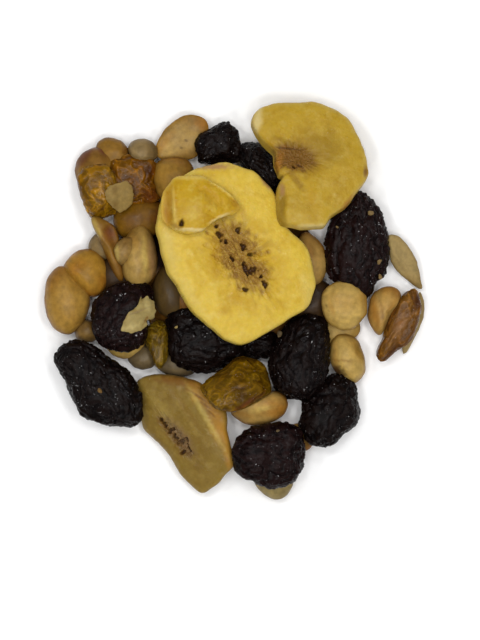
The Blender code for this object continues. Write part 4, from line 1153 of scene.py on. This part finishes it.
def build_chip(name, laid):
    """One finished slice: hollow fibrous core with holes and rays, mottled flesh, paler rim, patches."""
    grid, (middle, half_long, half_wide, lie), core_tone, (flesh, deep, pale) = CHIP_LOOKS[name]
    form, out = chip_surface(name, *grid)
    flat = form * (1.0, 1.0, 0.0)
    upper = out[:, 2] > -0.2
    away = form[:, :2] - onto_chip(name, [middle])[0]
    long_way, wide_way = along_across(away, lie - CHIPS[name][5])
    from_core = np.hypot(long_way / half_long, wide_way / half_wide)
    angle = np.arctan2(wide_way / half_wide, long_way / half_long)
    fibre = noise(np.column_stack((5.0 * np.cos(angle), 5.0 * np.sin(angle), 1.2 * from_core)), 0.8, 11)
    strands = noise(np.column_stack((long_way, 3.0 * wide_way, np.zeros(len(form)))), 1.2, 25)
    core = smooth(1.5, 0.4, from_core + 0.35 * fibre + 0.30 * noise(flat, 1.1, 12)) * upper
    pit, stain = (share * upper for share in pits_of(name, form, flat))
    relief = 0.12 * noise(flat, 3.5, 13) + 0.05 * noise(flat, 1.1, 14)
    relief += 0.04 * fibre * smooth(2.6, 0.8, from_core) - 0.9 * pit
    relief -= core * (0.30 + 0.20 * pillows(flat, 1.1, 15) - 0.20 * pillows(flat, 0.6, 16) - 0.12 * strands)
    ring = np.exp(-((from_core - 1.35) / 0.5) ** 2) * (0.5 + 0.8 * noise(flat, 1.8, 22)) * upper
    rays = smooth(0.1, 0.55, fibre) * smooth(2.2, 0.7, from_core) * upper
    rim = smooth(0.25, 0.8, np.hypot(out[:, 0], out[:, 1]))
    # Layers of colour in the order that they are laid on the flesh: the colour and how much of it
    tint = np.tile(flesh, (len(form), 1))
    for colour, weight in (
        (deep, 0.7 * smooth(-0.3, 0.7, noise(flat, 3.0, 18) + 0.5 * noise(flat, 0.9, 19))),
        (pale, 0.5 * smooth(-0.1, 0.8, noise(flat, 1.6, 20) + 0.5 * noise(flat, 0.45, 21))),
        (deep, ring),
        (core_tone, smooth(0.0, 0.7, core)),
        (STAIN, 0.45 * rays),
        (STAIN, 0.6 * core * smooth(0.0, 0.5, strands)),
        (pale, 0.2 * core * smooth(-0.1, -0.5, strands)),
        (STAIN, 0.6 * stain),
        (CORE_DARK, 0.9 * pit),
        (pale, 0.4 * rim),
    ):
        tint = toward(tint, colour, weight)
    form = form + out * relief[:, None]
    matrix, place = laid[name]
    made = form @ matrix.T + place
    paint(name, made, tint, (out @ matrix.T)[:, 2] > 0.05, 900)
    return Part(made, grid[0], tint, form, smooth(-0.2, 0.5, noise(flat, 1.2, 24)))


# Crumbs: place seen from above, size and tone
CRUMBS = (
    (22.8, 14.8, 1.1, "grey"), (24.2, 6.7, 0.9, "grey"), (24.4, 4.2, 0.9, "grey"),
    (17.2, 12.5, 0.5, "grey"), (-9.6, -4.2, 0.6, "putty"), (7.6, -5.3, 1.1, "slate"),
    (-22.3, -14.8, 0.9, "dull"), (7.3, -21.4, 0.6, "slate"),
)


def build_crumbs(heights):
    """Crumbs: small ovals with strong lumps, laid on what is highest at their place."""
    parts = []
    for seed, (x, y, size, tone) in enumerate(CRUMBS):
        unit, even = oval_unit("raisin", 900 + seed, (18, 12))
        form = unit * np.array((size, 0.7 * size, 0.45 * size)) / 2.0
        form = form * (1.0 + 0.25 * noise(even, 0.9, 900 + seed))[:, None]
        form = form @ turn_about(2, 53.0 * seed).T
        place = np.array((x, y, heights.height(x, y) + 0.1 * size))
        tint = toward(np.tile(TONES[tone][0], (len(form), 1)), TONES[tone][1], 0.5 + noise(even, 0.7, seed))
        parts.append(Part(form + place, 18, tint, form + 9.0 * seed, np.full(len(form), 0.4)))
    return parts


def build_core():
    """What lies under the pieces: the mound, with lumps as large as they are and toned like them."""
    around, along = CORE_FACETS[0] // 2, CORE_FACETS[1] // 3
    form = core_points(around, along)
    lumps = pillows(form, CORE_LUMP, 50)
    tint = np.tile(TONES["plum"][0], (len(form), 1))
    tint = toward(tint, TONES["toasted"][1], 0.8 * smooth(-0.1, 0.2, noise(form, CORE_LUMP, 51)))
    form[:, 2] += np.where(form[:, 2] > 0.0, CORE_LUMP_HEIGHT * (lumps - 0.8), 0.0)
    return Part(form, around, tint, form, np.full(len(form), 0.3))


# Camera, lights and floor

PIXELS = (480, 640)
PIXELS_PER_MM = 6.0
VIEW_MIDDLE = (1.0, -3.0)
VIEW_LEVEL = 6.0
CAMERA_HEIGHT = 900.0
SENSOR = 36.0
LIGHTS = 8
LIGHT_HEIGHTS = (76.0, 62.0)
LIGHT_POWER = 0.43
LIGHT_SIZE = 0.11
LIGHT_DISTANCE = 0.6
WORLD_POWER = 0.28
FLOOR_HALF = 3.0
FLOOR_LEVEL = -0.05
WHITE = (1.0, 1.0, 1.0, 1.0)


def add_camera():
    """Camera straight above, so far up that one pixel is about one sixth of a millimetre all over."""
    camera = bpy.data.cameras.new("camera")
    camera.sensor_fit = "VERTICAL"
    camera.sensor_height = SENSOR
    camera.lens = SENSOR * (CAMERA_HEIGHT - VIEW_LEVEL) / (PIXELS[1] / PIXELS_PER_MM)
    camera.clip_end = 10.0
    made = bpy.data.objects.new("camera", camera)
    made.location = (VIEW_MIDDLE[0] * MM, VIEW_MIDDLE[1] * MM, CAMERA_HEIGHT * MM)
    bpy.context.scene.collection.objects.link(made)
    bpy.context.scene.camera = made


def add_light(name, direction, height):
    """Soft round light that faces the middle from a direction and a height, both in degrees."""
    light = bpy.data.lights.new(name, "AREA")
    light.shape = "DISK"
    light.size = LIGHT_SIZE
    light.energy = LIGHT_POWER
    made = bpy.data.objects.new(name, light)
    angle = math.radians(direction)
    rise = math.radians(height)
    flat = LIGHT_DISTANCE * math.cos(rise)
    made.location = (flat * math.cos(angle), flat * math.sin(angle), LIGHT_DISTANCE * math.sin(rise))
    made.rotation_euler = (0.5 * math.pi - rise, 0.0, angle + 0.5 * math.pi)
    bpy.context.scene.collection.objects.link(made)


def add_surroundings():
    """Pale world, a ring of soft lights at two heights and a white floor."""
    world = bpy.data.worlds.new("studio")
    world.use_nodes = True
    background = world.node_tree.nodes["Background"]
    background.inputs["Color"].default_value = WHITE
    background.inputs["Strength"].default_value = WORLD_POWER
    bpy.context.scene.world = world
    for number in range(LIGHTS):
        add_light(f"soft_{number}", 20.0 + 360.0 / LIGHTS * number, LIGHT_HEIGHTS[number % 2])
    mesh = bpy.data.meshes.new("floor")
    half, level = FLOOR_HALF, FLOOR_LEVEL * MM
    corners = [(-half, -half, level), (half, -half, level), (half, half, level), (-half, half, level)]
    mesh.from_pydata(corners, [], [(0, 1, 2, 3)])
    floor = bpy.data.objects.new("floor", mesh)
    bpy.context.scene.collection.objects.link(floor)
    material = bpy.data.materials.new("floor")
    material.use_nodes = True
    shader = material.node_tree.nodes["Principled BSDF"]
    shader.inputs["Base Color"].default_value = WHITE
    shader.inputs["Roughness"].default_value = 0.9
    shader.inputs["Specular IOR Level"].default_value = 0.0
    mesh.materials.append(material)


def main():
    """Lays the pile in millimetres, builds each finished piece over it, and adds the surroundings."""
    laid = lay_all()
    dark = food_material("dark_raisin_skin", 0.075, 0.5, 0.0, 0.3, (1.2, 0.3), 0.17, 0.05, (2.2, 0.22))
    gold = food_material("golden_raisin_skin", 0.14, 0.3, 0.3, 1.2, (0.8, 0.25), 0.2, 0.07, (2.4, 0.1))
    nut = food_material("nut_flesh", 0.16, 0.03, 0.1, 0.7, (0.9, 0.22), 0.5, 0.3, (2.4, 0.03))
    seed_skin = food_material("seed_flesh", 0.14, 0.03, 0.1, 0.5, (1.6, 0.15), 0.7, 0.5, (3.0, 0.03))
    banana = food_material("banana_flesh", 0.18, 0.08, 0.18, 0.9, (1.5, 0.06), 0.5, 0.26, (2.4, 0.08))
    nuts = ("nuts", nut, "nut")
    kinds = {
        "raisin": ("dark_raisins", dark, "dark_raisin"), "golden": ("golden_raisins", gold, "golden_raisin"),
        "nut": nuts, "half": nuts, "face": nuts, "seed": ("seeds", seed_skin, "seed"),
        "flake": ("flakes", seed_skin, "seed"),
    }
    groups = {}
    heights = HeightMap()
    for seed, row in enumerate(PIECES):
        if row[1] != "flake":
            part = build_part(row, seed, laid)
            heights.add(part.points)
            groups.setdefault(kinds[row[1]], []).append(part)
    for name in CHIPS:
        part = build_chip(name, laid)
        heights.add(part.points)
        make_piece(f"chip_{name}", [part], banana, f"banana_chip_{name}")
    for seed, row in enumerate(PIECES):
        if row[1] == "flake":
            part = build_flake(row, seed, heights)
            heights.add(part.points)
            groups.setdefault(kinds["flake"], []).append(part)
    for (piece, material, slot), parts in groups.items():
        make_piece(piece, parts, material, HEAP)
    make_piece("crumbs", build_crumbs(heights), seed_skin, HEAP)
    make_piece("core", [build_core()], nut, HEAP)
    add_camera()
    add_surroundings()
    bpy.context.scene.view_settings.view_transform = "Standard"


main()
